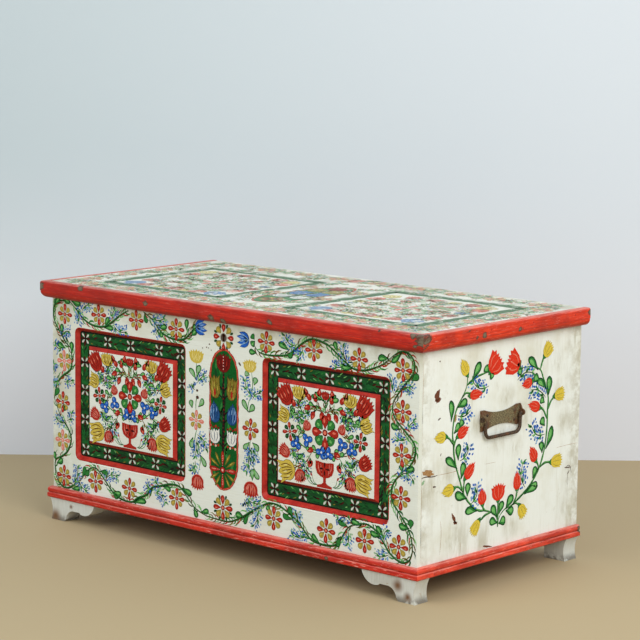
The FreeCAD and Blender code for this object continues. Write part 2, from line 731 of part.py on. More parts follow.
strap_solids, strap_hole_list = nails("strap_nail", "nail", "strap_nail_length", spots, UP)
strap_holes = paired("strap_holes", strap_hole_list)
strap_right = cut("strap_worked", joined("strap_blank", strap), bore, strap_holes)
strap_left = twins(strap_right, "hinge_strap_SIDE")

# The back: two boards with tails, meeting at the same seam as the end planks
lower_tails = tails("back_lower", "back_face", "back_thickness", "wall_foot", "lower_plank", LOWER_TAIL_SHARES)
upper_tails = tails("back_upper", "back_face", "back_thickness", "seam_level", "upper_plank", UPPER_TAIL_SHARES)
core = box("back_lower_core", ("-inner_half", "inner_back", "wall_foot"), "inner_length",
           "back_thickness", "lower_plank")
blank = joined("back_lower_blank", [core, lower_tails, mirrored("back_lower_left_tails", lower_tails)])
subpart(cut("back_lower_worked", blank, case_holes), "back_board_lower")
core = box("back_upper_core", ("-inner_half", "inner_back", "seam_level"), "inner_length",
           "back_thickness", "upper_plank")
blank = joined("back_upper_blank", [core, upper_tails, mirrored("back_upper_left_tails", upper_tails)])
subpart(cut("back_upper_worked", blank, leaf_holes, till_front, till_bottom), "back_board_upper")

# The drop handles: a waisted plate with an ear at each end, and a bail of bent rod
waist = [
    ("-plate_length / 2", "-plate_end_height / 2"),
    ("plate_tab - plate_length / 2", "-plate_end_height / 2"),
    ("plate_length / 2 - plate_tab", "-plate_end_height / 2"),
    ("plate_length / 2", "-plate_end_height / 2"),
    ("plate_length / 2", "plate_end_height / 2"),
    ("plate_length / 2 - plate_tab", "plate_end_height / 2"),
    ("plate_tab - plate_length / 2", "plate_end_height / 2"),
    ("-plate_length / 2", "plate_end_height / 2"),
]
rounds = {1: ("plate_waist_radius", -1), 5: ("plate_waist_radius", -1)}
plate = [sawn("plate_sheet", "YZ_Plane", waist, rounds, "plate_iron", ("case_half", "handle_line", "plate_level"))]
ear = [
    ("0", "-plate_end_height / 2"),
    ("ear_foot", "-plate_end_height / 2"),
    ("pivot_reach", "pivot_rise - ear_radius"),
    ("pivot_reach", "pivot_rise + ear_radius"),
    ("ear_foot", "plate_end_height / 2"),
    ("0", "plate_end_height / 2"),
]
for name, line in (("rear", "handle_line + ear_face"), ("front", "handle_line - ear_face + ear_thickness")):
    plate.append(sawn(f"{name}_ear", "XZ_Plane", ear, {}, "ear_thickness", ("case_half", line, "plate_level")))
    plate.append(cylinder(f"{name}_ear_round", ("pivot_out", line, "pivot_level"), FRONT, "ear_radius", "ear_thickness"))
eye = cylinder("ear_bore", ("pivot_out", "handle_line - ear_face - overrun", "pivot_level"), BACK,
               "bail_radius + bail_clearance", "plate_length + 2 * overrun")
spots = [("case_half + plate_iron", f"handle_line + plate_length * {across}", f"plate_level + plate_end_height * {up}")
         for across, up in PLATE_NAIL_SHARES]
solids, holes = nails("plate_nail", "nail", "plate_nail_length", spots, LEFT)
subpart(paired("plate_nail_set", solids), "plate_nails")
plate_holes = joined("plate_holes", holes)
twins(cut("plate_worked", joined("plate_blank", plate), eye, plate_holes), "handle_plate_SIDE")

leg, drop = "bail_span / 2", "bail_drop"
route = [
    ("-bail_end", "0"),
    (f"-{leg} - bail_bend", "0"),
    (f"-{leg}", "-bail_bend"),
    (f"-{leg}", f"bail_corner - {drop}"),
    (f"bail_corner - {leg}", f"-{drop}"),
    (f"{leg} - bail_corner", f"-{drop}"),
    (leg, f"bail_corner - {drop}"),
    (leg, "-bail_bend"),
    (f"{leg} + bail_bend", "0"),
    ("bail_end", "0"),
]
rounds = {1: ("bail_bend", -1), 3: ("bail_corner", 1), 5: ("bail_corner", 1), 7: ("bail_bend", -1)}
path = outline("bail_route", route, rounds, ("pivot_out", "handle_line", "pivot_level"), FACING_RIGHT, closed=False)
section = doc.addObject("Part::Circle", "bail_section")
bind(section, Radius="bail_radius")
place(section, ("pivot_out", "handle_line - bail_end", "pivot_level"), facing(BACK))
rod = doc.addObject("Part::Sweep", "bail_rod")
rod.Sections = [section]
doc.recompute()
rod.Spine = (path, [f"Edge{number}" for number in range(1, len(path.Shape.Edges) + 1)])
rod.Solid = True
heads = [
    cylinder("bail_head_front", ("pivot_out", "handle_line - bail_end", "pivot_level"), BACK,
             "bail_head_radius", "bail_head"),
    cylinder("bail_head_rear", ("pivot_out", "handle_line + bail_end", "pivot_level"), FRONT,
             "bail_head_radius", "bail_head"),
]
twins(joined("bail", [rod, *heads]), "bail_SIDE")

# The ends: two planks each, notched for the tails of the front and back boards
for name, foot, height, more in (("lower", "wall_foot", "lower_plank", case_holes),
                                 ("upper", "seam_level", "upper_plank", plate_holes)):
    plank = box(f"end_{name}_blank", ("inner_half", "board_front", foot), "end_thickness", "end_depth", height)
    worked = cut(f"end_{name}_worked", plank, front_tails, lower_tails, upper_tails, more)
    twins(worked, f"SIDE_end_{name}")

# The staple that hangs from the lid into the lock
plate = box("staple_sheet", ("-staple_plate_length / 2", "lock_line - staple_plate_width / 2", "case_top"),
            "staple_plate_length", "staple_plate_width", "sheet_iron")
loop = box("staple_loop", ("-staple_iron / 2", "lock_line - staple_width / 2", "case_top - staple_drop"),
           "staple_iron", "staple_width", "staple_drop + sheet_iron")
eye = box("staple_eye", ("-staple_iron / 2 - overrun", "lock_line - staple_eye_width / 2",
                         "bolt_level - staple_eye_height / 2"),
          "staple_iron + 2 * overrun", "staple_eye_width", "staple_eye_height")
spots = [(f"staple_plate_length * {share}", "lock_line", "case_top") for share in STAPLE_NAIL_SHARES]
staple_solids, staple_holes = nails("staple_nail", "nail", "strap_nail_length", spots, UP)
staple_hole_set = joined("staple_holes", staple_holes)
staple = cut("staple_worked", joined("staple_blank", [plate, loop]), eye, staple_hole_set)
subpart(staple, "lock_staple")
subpart(joined("lid_iron_nail_set", [paired("strap_nails", strap_solids), *staple_solids]), "lid_iron_nails")

# The lid: three boards, with the hinge straps and the staple let in from below
spots = [(f"case_length * {share}", "moulding_front", "lid_middle") for share in LID_NAIL_SHARES]
front_brads, front_brad_holes = nails("lid_brad", "brad", "lid_nail_length", spots, BACK, sunk=True)
face = "lid_half + moulding_width"
spots = [(face, f"lid_front + lid_depth * {share}", "lid_middle") for share in LID_SIDE_SHARES]
side_brads, side_brad_holes = nails("lid_side_brad", "brad", "lid_nail_length", spots, LEFT, sunk=True)
subpart(joined("lid_nail_set", [*front_brads, paired("lid_side_brads", side_brads)]), "lid_nails")
lid_holes = joined("lid_holes", [*front_brad_holes, paired("lid_side_brad_holes", side_brad_holes)])
for number, name in enumerate(("front", "middle", "rear")):
    corner = ("-lid_half", f"lid_front + {number} * lid_board_width", "case_top")
    board = box(f"lid_{name}_blank", corner, "lid_length", "lid_board_width", "lid_thickness")
    irons = [staple, staple_hole_set] if name == "front" else [strap_right, strap_left, strap_holes]
    subpart(cut(f"lid_{name}", board, lid_holes, *irons), f"lid_board_{name}")

# The lid's moulding: an upright face with a rounded top edge, and a wide round under it
profile = [
    ("0", "0"),
    ("moulding_width - moulding_arris - moulding_under_width", "0"),
    ("moulding_width - moulding_arris", "moulding_under_height"),
    ("moulding_width", "moulding_under_height + moulding_arris"),
    ("moulding_width", "moulding_height - moulding_round"),
    ("moulding_width - moulding_round", "moulding_height"),
    ("0", "moulding_height"),
]
rounds = {1: ("moulding_under_radius", 1), 4: ("moulding_round", 1)}
front, side = edging("moulding", profile, rounds, "lid_half", "moulding_front", "moulding_width",
                     "moulding_foot", "moulding_height")
subpart(cut("moulding_front_drilled", front, lid_holes), "lid_moulding_front")
twins(cut("moulding_side_drilled", side, lid_holes), "lid_moulding_SIDE")

doc.recompute()
failed = [made.Label for made in doc.Objects if {"Invalid", "Error"} & set(made.State)]
failed += [made.Label for made in subparts if made.Shape.isNull() or not made.Shape.isValid()]
if failed:
    raise SystemExit(f"these did not come out right: {failed}")
os.makedirs("parts", exist_ok=True)
for made in subparts:
    made.Shape.exportStep(f"parts/{made.Label}.step")
print(f"{len(subparts)} subparts written")
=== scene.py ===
import math
import random

import bpy
from mathutils import Matrix, Vector


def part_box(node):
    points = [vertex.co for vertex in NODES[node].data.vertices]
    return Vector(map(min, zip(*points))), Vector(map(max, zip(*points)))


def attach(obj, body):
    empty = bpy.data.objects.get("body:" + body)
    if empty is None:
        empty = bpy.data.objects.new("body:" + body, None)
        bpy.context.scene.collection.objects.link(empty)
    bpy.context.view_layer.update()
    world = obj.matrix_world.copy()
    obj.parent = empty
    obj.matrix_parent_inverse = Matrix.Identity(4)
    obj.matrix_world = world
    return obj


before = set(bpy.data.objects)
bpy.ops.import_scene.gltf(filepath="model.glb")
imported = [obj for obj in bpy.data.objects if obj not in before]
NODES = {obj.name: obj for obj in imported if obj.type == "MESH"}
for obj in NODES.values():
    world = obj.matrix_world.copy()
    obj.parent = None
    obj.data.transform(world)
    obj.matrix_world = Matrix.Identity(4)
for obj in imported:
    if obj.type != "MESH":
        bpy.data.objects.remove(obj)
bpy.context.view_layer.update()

# A painted wedding chest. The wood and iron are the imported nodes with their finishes. The flowers are
# brush strokes: thin coats of paint, each an outline drawn flat in millimetres on one side of the chest.

MM = 0.001
# The lowest coat's height over the wood, and the step up to each later one, in mm. The lid's step is smaller
FIRST_COAT = 0.16
COAT_STEP = 0.09
LID_COAT_STEP = 0.055
brush = random.Random(7)


# Camera, floor, wall and lamps

# The photograph's camera: its place in metres, and how it is turned, tipped and tilted
CAMERA_SPOT = Vector((3.8297, -4.19515, 1.3742))
CAMERA_YAW = math.radians(42.106)
CAMERA_PITCH = math.radians(8.508)
CAMERA_ROLL = math.radians(0.579)
LENS_MM = 137.51
SENSOR_MM = 36
SIGHT_METRES = 60
# The wall's distance from the camera, and the width of the wall and the floor
WALL_METRES = 6.62
STAGE_METRES = 12
LAMP_METRES = 3.0


def add_camera():
    """A long lens, well to the right of the chest and above it."""
    level = math.cos(CAMERA_PITCH)
    back = Vector((math.sin(CAMERA_YAW) * level, -math.cos(CAMERA_YAW) * level, math.sin(CAMERA_PITCH)))
    right = (-back).cross(Vector((0, 0, 1))).normalized()
    up = right.cross(-back)
    across = right * math.cos(CAMERA_ROLL) + up * math.sin(CAMERA_ROLL)
    upward = up * math.cos(CAMERA_ROLL) - right * math.sin(CAMERA_ROLL)
    camera = bpy.data.objects.new("camera", bpy.data.cameras.new("camera"))
    camera.data.lens = LENS_MM
    camera.data.sensor_width = SENSOR_MM
    camera.data.clip_end = SIGHT_METRES
    axes = Matrix((across, upward, back)).transposed().to_4x4()
    camera.matrix_world = Matrix.Translation(CAMERA_SPOT) @ axes
    bpy.context.collection.objects.link(camera)
    bpy.context.scene.camera = camera


def linear(code):
    """An sRGB hex colour as a linear one."""
    parts = [int(code[i:i + 2], 16) / 255 for i in (1, 3, 5)]
    return tuple(c / 12.92 if c <= 0.04045 else ((c + 0.055) / 1.055) ** 2.4 for c in parts) + (1,)


# The nodes in use: Blender's name, the sockets that values go to in turn, the output and the settings.
# "rise" is 0 where a value is under its low end, 1 where it is over its high end, and smooth between
KINDS = {
    "place": ("TexCoord", (), 3, {}),
    "stretch": ("Mapping", ("Vector", "Scale"), 0, {}),
    "noise": ("TexNoise", ("Vector", "Scale", "Detail", "Roughness", "Distortion"), 0, {}),
    "part": ("SeparateXYZ", (0,), 0, {}),
    "distance": ("VectorMath", (0, 1), 1, {"operation": "DISTANCE"}),
    "normal": ("NewGeometry", (), 1, {}),
    "from_behind": ("NewGeometry", (), 6, {}),
    "in_piece": ("VectorTransform", (0,), 0,
                 {"vector_type": "NORMAL", "convert_from": "WORLD", "convert_to": "OBJECT"}),
    "rise": ("MapRange", (0, 1, 2), 0, {"interpolation_type": "SMOOTHSTEP"}),
    "most": ("Math", (0, 1), 0, {"operation": "MAXIMUM"}),
    "times": ("Math", (0, 1), 0, {"operation": "MULTIPLY"}),
    "times_plus": ("Math", (0, 1, 2), 0, {"operation": "MULTIPLY_ADD"}),
    "unsigned": ("Math", (0,), 0, {"operation": "ABSOLUTE"}),
    "mix": ("Mix", (0, 6, 7), 2, {"data_type": "RGBA"}),
    "bump": ("Bump", ("Height", "Strength", "Distance"), 0, {}),
    "surface": ("BsdfPrincipled",
                ("Base Color", "Roughness", "Metallic", "Specular IOR Level", "Normal"), 0, {}),
    "matt": ("BsdfDiffuse", ("Color",), 0, {}),
    "clear": ("BsdfTransparent", (), 0, {}),
    "one_or_other": ("MixShader", (0, 1, 2), 0, {}),
    "material": ("OutputMaterial", ("Surface",), None, {}),
}


def node(tree, kind, *values, output=None):
    """Adds a node with its settings and links, and returns one of its outputs."""
    blender_name, sockets, usual_output, settings = KINDS[kind]
    made = tree.nodes.new("ShaderNode" + blender_name)
    for name, value in settings.items():
        setattr(made, name, value)
    for key, value in zip(sockets, values):
        if isinstance(value, bpy.types.NodeSocket):
            tree.links.new(value, made.inputs[key])
        else:
            made.inputs[key].default_value = value
    if usual_output is None:
        return None
    return made.outputs[usual_output if output is None else output]


def metres(*lengths):
    """Lengths in mm as metres."""
    return tuple(length * MM for length in lengths)


def position(tree, stretch=(1, 1, 1)):
    """A point's place on the piece. A stretch over 1 draws a pattern out along that axis."""
    place = node(tree, "place")
    if stretch == (1, 1, 1):
        return place
    return node(tree, "stretch", place, tuple(1 / s for s in stretch))


def drawn_out(axis, stretch):
    """A stretch along one axis alone."""
    return tuple(stretch if k == axis else 1 for k in range(3))


def coordinate(tree, axis):
    return node(tree, "part", position(tree), output=axis)


def blots(tree, size, detail=3, roughness=0.55, distortion=0.0, stretch=(1, 1, 1)):
    """Noise whose blots are about size mm across."""
    return node(tree, "noise", position(tree, stretch), 1 / (size * MM), detail, roughness, distortion)


def layered(tree, colour, *coats):
    """Colours laid over one another. Each shows where its pattern rises from one value to the next, as
    strongly as its share says."""
    for pattern, low, high, share, over in coats:
        mask = node(tree, "times", node(tree, "rise", pattern, low, high), share)
        colour = node(tree, "mix", mask, colour, linear(over) if isinstance(over, str) else over)
    return colour


def near(tree, spot, reach):
    """1 at a spot given in mm, falling to 0 reach mm away from it."""
    away = node(tree, "distance", position(tree), metres(*spot))
    return node(tree, "rise", away, reach * MM, 0.0)


def near_any(tree, spots):
    """1 at any of some spots, each with its reach."""
    share = 0.0
    for spot, reach in spots:
        share = node(tree, "most", share, near(tree, spot, reach))
    return share


def facing(tree, axis):
    """How squarely a face looks along an axis of its piece: 1 along it, 0 across it, -1 against it."""
    return node(tree, "part", node(tree, "in_piece", node(tree, "normal")), output=axis)


def new_material(name):
    """A material without nodes, and its tree."""
    made = bpy.data.materials.new(name)
    made.use_nodes = True
    made.node_tree.nodes.clear()
    return made, made.node_tree


def finish_material(made, tree, colour, roughness, height=None, depth=0.2, metallic=0.0, specular=0.5):
    """The surface. Height is pressed into it, up to depth mm."""
    values = [colour, roughness, metallic, specular]
    if height is not None:
        values.append(node(tree, "bump", height, 1.0, depth * MM))
    node(tree, "material", node(tree, "surface", *values))
    return made


def stage_plane(name, spot, turn):
    bpy.ops.object.select_all(action="DESELECT")
    bpy.ops.mesh.primitive_plane_add(size=STAGE_METRES, location=spot, rotation=turn)
    made = bpy.context.object
    made.name = name
    return made


def add_stage():
    """A pale floor and a pale wall behind it, the wall with painted light: lighter to the right and towards
    the floor. From behind, the wall lets the eye through.
    """
    floor = stage_plane("floor", (0, 0, 0), (0, 0, 0))
    made, tree = new_material("pale_floor")
    floor.data.materials.append(finish_material(made, tree, linear("#BAA47E"), 0.8))
    forward = Vector((-math.sin(CAMERA_YAW), math.cos(CAMERA_YAW), 0))
    foot = Vector((CAMERA_SPOT.x, CAMERA_SPOT.y, 0)) + forward * WALL_METRES
    wall = stage_plane("wall", foot, (math.radians(90), 0, CAMERA_YAW))
    made, tree = new_material("pale_wall")
    # Painted light: the wall is painted lighter to the right and towards the floor
    colour = layered(tree, linear("#C0CBCE"), (coordinate(tree, 0), *metres(-1600, 1200), 1, "#E0E5EA"))
    colour = layered(tree, linear("#E6E7EC"), (coordinate(tree, 1), *metres(100, 900), 1, colour))
    behind = node(tree, "from_behind")
    surface = node(tree, "one_or_other", behind, node(tree, "matt", colour), node(tree, "clear"))
    node(tree, "material", surface)
    wall.data.materials.append(made)


def add_lamp(name, spot, power, colour):
    """A square lamp that aims at the middle of the chest."""
    lamp = bpy.data.lights.new(name, "AREA")
    lamp.shape = "SQUARE"
    lamp.size = LAMP_METRES
    lamp.energy = power
    lamp.color = linear(colour)[:3]
    holder = bpy.data.objects.new(name, lamp)
    holder.location = spot
    middle = Vector(metres(0, 0, 300))
    holder.rotation_euler = (middle - Vector(spot)).to_track_quat("-Z", "Y").to_euler()
    bpy.context.collection.objects.link(holder)


def add_light():
    """Soft light from the right and above, a weaker one in front, and a pale room all round."""
    add_lamp("key_lamp", (4.2, -1.4, 3.2), 140, "#FFFEFC")
    add_lamp("front_lamp", (-1.0, -4.6, 2.8), 75, "#F7FAFF")
    world = bpy.data.worlds.new("room")
    world.use_nodes = True
    back = world.node_tree.nodes["Background"]
    back.inputs["Color"].default_value = linear("#D3E0E9")
    back.inputs["Strength"].default_value = 0.9
    bpy.context.scene.world = world
    bpy.context.scene.view_settings.view_transform = "Standard"


# Finishes of the wood and iron

WHITE_GROUND = "#E4E6DA"
END_GROUND = "#EFF1E9"
END_STAIN = "#D5D1BA"
# The lid's ground: its old white, painted paler and creamier as a painted sheen on its top
LID_WHITE_WITH_PAINTED_SHEEN = "#F3EFE0"
MOAT_GROUND = "#135A26"


def pine(tree, axis):
    """Old pine: the grain runs along one axis, with darker late wood about 5 mm apart."""
    grain = blots(tree, 5, 4, 0.6, 0.6, drawn_out(axis, 14))
    colour = layered(tree, linear("#B98E58"), (grain, 0.4, 0.62, 1, "#8C6238"),
                     (blots(tree, 140), 0.45, 0.7, 0.4, "#6E4C2C"))
    return colour, grain


def bare_pine(name, axis):
    """Unpainted pine, darkened by air and hands: matt, with its grain just felt."""
    made, tree = new_material(name)
    colour, grain = pine(tree, axis)
    return finish_material(made, tree, colour, 0.75, grain, 0.25, specular=0.3)


def aged_white(tree, ground, stain, axis, stained):
    """Old white oil paint, brushed on along an axis: cream where it has yellowed, with fine dark dirt."""
    streak = blots(tree, 3, 4, 0.65, stretch=drawn_out(axis, 18))
    cloud = blots(tree, 150, 4, 0.6)
    fleck = blots(tree, 9, 5, 0.7, 0.4)
    colour = layered(tree, linear(ground), (cloud, 0.46, 0.74, stained, stain),
                     (streak, 0.5, 0.8, 0.35, "#F6F5F0"), (streak, 0.5, 0.24, 0.3, stain),
                     (fleck, 0.66, 0.78, 0.45, "#A79F86"))
    return colour, streak


def chipped(tree, colour, bare, size, least):
    """Paint that has come off in small ragged patches, fewer where more is asked of the noise."""
    return layered(tree, colour, (blots(tree, size, 6, 0.72, 0.8), least, least + 0.02, 1, bare))


# Where the front is painted darker, in mm: towards its left end, dirt with painted shade, and up to the lid,
# painted shadow under it
FRONT_DIRT_AND_SHADE_LEFT = (-450, -575)
FRONT_SHADOW_UNDER_LID = (490, 540)
# The sloping edges round the panels are red only inside these, in mm
RED_EDGE_SIDES = (571, 569)
RED_EDGE_TOP = (560, 556)
# The middle of the keyhole in the front, in mm
KEYHOLE = (0, -282.6, 513)
KEYHOLE_RUB = 22


def painted_front(name):
    """White oil paint on the front, red oil paint on every sloping edge round its panels, and a keyhole
    rubbed brown by the key."""
    made, tree = new_material(name)
    colour, streak = aged_white(tree, WHITE_GROUND, "#CDC8B0", 0, 0.45)
    across, upward = coordinate(tree, 0), coordinate(tree, 2)
    # Painted shadow under the lid, and dirt with painted shade towards the left end, broken up by the haze
    dirt_and_shade = node(tree, "most", node(tree, "rise", across, *metres(*FRONT_DIRT_AND_SHADE_LEFT)),
                 node(tree, "rise", upward, *metres(*FRONT_SHADOW_UNDER_LID)))
    haze = blots(tree, 60, 5, 0.65)
    colour = layered(tree, colour, (haze, 0.3, 0.6, node(tree, "times", dirt_and_shade, 0.7), "#B7B49A"))
    red = red_coat(tree, (6, 6, 6), "#B4261A", "#CE3A2A")[0]
    sloping = node(tree, "rise", node(tree, "unsigned", facing(tree, 1)), 0.97, 0.93)
    inner = node(tree, "rise", node(tree, "unsigned", across), *metres(*RED_EDGE_SIDES))
    edges = node(tree, "times", sloping, inner)
    colour = layered(tree, colour, (upward, *metres(*RED_EDGE_TOP), edges, red))
    colour = chipped(tree, colour, pine(tree, 0)[0], 60, 0.74)
    colour = layered(tree, colour, (near(tree, KEYHOLE, KEYHOLE_RUB), 0.42, 0.7, 0.95, "#3E2C1A"))
    return finish_material(made, tree, colour, 0.5, streak, 0.12, specular=0.3)


# Where hands and rags have left dirt on an end, in mm from its middle
END_GRIME = (215, 285)


def grimed(tree, colour):
    """Grime on an end: drips down it, and dirt near its upright edges."""
    drip = blots(tree, 34, 4, 0.6, stretch=drawn_out(2, 9))
    smear = blots(tree, 46, 5, 0.7)
    edge = node(tree, "rise", node(tree, "unsigned", coordinate(tree, 1)), *metres(*END_GRIME))
    return layered(tree, colour, (drip, 0.54, 0.74, 0.4, "#BDB79E"),
                   (smear, 0.4, 0.62, node(tree, "times", edge, 0.55), "#A89E80"),
                   (smear, 0.6, 0.72, 0.3, "#AFA789"))


def white_tails(tree, colour):
    """White paint where the dovetails show in the ends. Also gives how far a face looks to a side."""
    white, streak = aged_white(tree, END_GROUND, END_STAIN, 2, 0.7)
    sideways = node(tree, "unsigned", facing(tree, 0))
    return layered(tree, colour, (sideways, 0.8, 0.9, 1, grimed(tree, white))), streak, sideways


def painted_back(name):
    """Bare pine at the back, and white paint on the tails that show in the ends."""
    made, tree = new_material(name)
    bare, grain = pine(tree, 0)
    colour = white_tails(tree, bare)[0]
    return finish_material(made, tree, colour, 0.7, grain, 0.25, specular=0.3)


# The front board's inner side begins between these, in mm from the middle of the chest
FRONT_INSIDE = (-270.8, -270.2)


def painted_green(name):
    """The front board: dark green oil paint in the panels, white on the tails at its ends, pine inside."""
    made, tree = new_material(name)
    blot = blots(tree, 16, 4, 0.6, stretch=drawn_out(0, 4))
    colour = layered(tree, linear("#0A2F14"), (blot, 0.35, 0.6, 1, MOAT_GROUND),
                     (blot, 0.56, 0.72, 0.7, "#1B7430"))
    colour, streak, sideways = white_tails(tree, colour)
    lengthwise = node(tree, "rise", sideways, 0.5, 0.3)
    bare = pine(tree, 0)[0]
    colour = layered(tree, colour, (coordinate(tree, 1), *metres(*FRONT_INSIDE), lengthwise, bare))
    return finish_material(made, tree, colour, 0.55, streak, 0.12, specular=0.15)


# An end's outer face, in mm from the middle of the chest, and the dark stains on it: places in mm from the
# middle of its depth and up, and how far each reaches
END_FACE = 579
END_STAINS = (
    (-88, 366, 44), (78, 366, 46), (-10, 330, 56), (52, 296, 40), (20, 412, 40), (-150, 112, 80),
    (-60, 96, 60), (40, 120, 46), (206, 470, 46), (214, 400, 50), (228, 330, 44), (-190, 268, 60),
    (-238, 250, 50), (262, 214, 40), (-268, 420, 40), (-262, 130, 50), (250, 110, 60), (270, 520, 44),
)


def painted_board(name, ground, stain, grain_axis, skin, brushed, least, stained, stains=()):
    """A board whose outside is painted white and whose other faces are bare pine.
    skin is the axis that its painted face looks along, with the sign of the side."""
    made, tree = new_material(name)
    colour, streak = aged_white(tree, ground, stain, brushed, stained)
    colour = grimed(tree, colour)
    axis, sign = skin
    if stains:
        dark = near_any(tree, [((sign * END_FACE, y, z), reach) for y, z, reach in stains])
        cloudy = blots(tree, 30, 5, 0.7, stretch=drawn_out(2, 3))
        colour = layered(tree, colour, (cloudy, 0.36, 0.66, node(tree, "times", dark, 0.6), "#A79E7C"))
    bare = pine(tree, grain_axis)[0]
    outward = node(tree, "times", facing(tree, axis), float(sign))
    colour = layered(tree, bare, (outward, 0.4, 0.6, 1, chipped(tree, colour, bare, 70, least)))
    return finish_material(made, tree, colour, 0.52, streak, 0.14)


def red_coat(tree, stretch, deep, bright):
    """Red oil paint: rubbed bright along the run and dark in the pores, with painted shade where it looks
    down.
    """
    streak = blots(tree, 4, 5, 0.7, stretch=stretch)
    # Brush streaks and pores, a random cloud, and last painted shade: darker on faces that look down
    colour = layered(tree, linear(deep), (streak, 0.42, 0.66, 1, bright),
                     (streak, 0.42, 0.28, 0.8, "#78140C"), (blots(tree, 90, 4), 0.46, 0.66, 0.5, "#8C160C"),
                     (facing(tree, 2), -0.1, -0.8, 0.5, "#66120B"))
    return colour, streak


# Spots of the mouldings that have lost their paint, in mm, and how far each reaches
WORN_SPOTS = (
    ((603, -301, 575), 42), ((574, -301, 584), 15), ((580, -301, 561), 13), ((603, -301, 66), 26),
    ((603, 30, 566), 10), ((603, -95, 566), 13), ((603, -120, 562), 10), ((-600, -300, 575), 20),
    ((161, -301, 567), 16), ((-458, -301, 583), 20), ((-237, -301, 568), 14), ((-24, -301, 556), 18),
    ((14, -301, 553), 17), ((480, -301, 585), 12), ((-170, -301, 552), 10), ((590, 290, 70), 16),
    ((603, 290, 575), 16), ((330, -294, 60), 12),
)
# Painted shade: the red is painted darker towards the left, between these, in mm
PAINTED_SHADE_ON_RED_LEFT = (100, -450)


def painted_red(name, stretch, deep, bright, scratched):
    """Red mouldings, rubbed along their run: pale scratches, undercoat and wood where knocked, and a painted
    highlight with some wear in it on faces that look up.
    """
    made, tree = new_material(name)
    colour, streak = red_coat(tree, stretch, deep, bright)
    scratch = blots(tree, 1.6, 3, 0.7, stretch=stretch)
    # Painted highlight, partly wear: paler streaks on faces that look up
    upper = node(tree, "times", node(tree, "rise", facing(tree, 2), 0.3, 0.75), 0.45)
    colour = layered(tree, colour, (scratch, 0.58, 0.7, scratched, "#F4AC9A"),
                     # Painted shade: darker red towards the left
                     (coordinate(tree, 0), *metres(*PAINTED_SHADE_ON_RED_LEFT), 0.3, "#96190C"),
                     (streak, 0.36, 0.56, upper, "#EFA491"))
    patch = blots(tree, 22, 6, 0.75, 0.6, tuple(1 + s / 8 for s in stretch))
    ragged = node(tree, "times_plus", near_any(tree, WORN_SPOTS), 0.3, patch)
    colour = layered(tree, colour, (ragged, 0.66, 0.69, 1, "#5A3A2C"), (ragged, 0.72, 0.8, 0.6, "#857A64"))
    return finish_material(made, tree, colour, 0.4, node(tree, "most", streak, scratch), 0.16, specular=0.3)


# Knots and knocks of the front feet, in mm, and how far each reaches
FOOT_KNOTS = (((532, -289, 35), 22), ((560, -289, 14), 16), ((-566, -289, 10), 26), ((-510, -289, 40), 8))
# The feet are dirty up from the floor, between these, in mm
FOOT_DIRT = (20, 2)


def painted_feet(name):
    """White feet, knocked and scuffed: paint gone in patches down to brown pine."""
    made, tree = new_material(name)
    colour, streak = aged_white(tree, "#CFCFC5", "#A29B85", 2, 0.6)
    patch = blots(tree, 34, 6, 0.7, 0.5)
    low = node(tree, "rise", coordinate(tree, 2), *metres(*FOOT_DIRT))
    colour = layered(tree, colour, (patch, 0.64, 0.66, 1, pine(tree, 2)[0]),
                     (patch, 0.36, 0.52, node(tree, "times", low, 0.8), "#5C5040"))
    for spot, reach in FOOT_KNOTS:
        colour = layered(tree, colour, (patch, 0.26, 0.44, near(tree, spot, reach), "#714A26"))
    return finish_material(made, tree, colour, 0.55, streak, 0.16)


# The handle plates rust all over this far beyond their clean middles, in mm
RUST_EDGE = 14


def forged_iron(name, light, dark, rust, rusted, clean=None):
    """Forged iron browned by age: dull, pitted, with rust in its hollows, and rust all over farther than
    clean mm from its middle."""
    made, tree = new_material(name)
    pit = blots(tree, 3, 5, 0.7)
    blot = blots(tree, 14, 4, 0.65)
    colour = layered(tree, linear(dark), (pit, 0.38, 0.64, 1, light),
                     (blot, 0.62 - rusted, 0.78 - rusted, 0.85, rust))
    if clean:
        away = node(tree, "unsigned", coordinate(tree, 1))
        tips = node(tree, "times", node(tree, "rise", away, *metres(clean, clean + RUST_EDGE)), 0.8)
        colour = layered(tree, colour, (blot, 0.36, 0.56, tips, "#6B4026"))
    return finish_material(made, tree, colour, 0.62, pit, 0.35, metallic=0.35)


def brushed_paint(name, code, shade, ground, worn):
    """One colour of the flowers: thin oil paint with brush marks, and the ground where it is rubbed."""
    made, tree = new_material(name)
    mark = blots(tree, 2.6, 3, 0.6, 0.5)
    rub = blots(tree, 22, 6, 0.72, 0.3)
    colour = layered(tree, linear(code), (mark, 0.42, 0.66, 1, shade), (rub, worn, worn + 0.08, 0.8, ground))
    return finish_material(made, tree, colour, 0.6, mark, 0.1, specular=0.08)


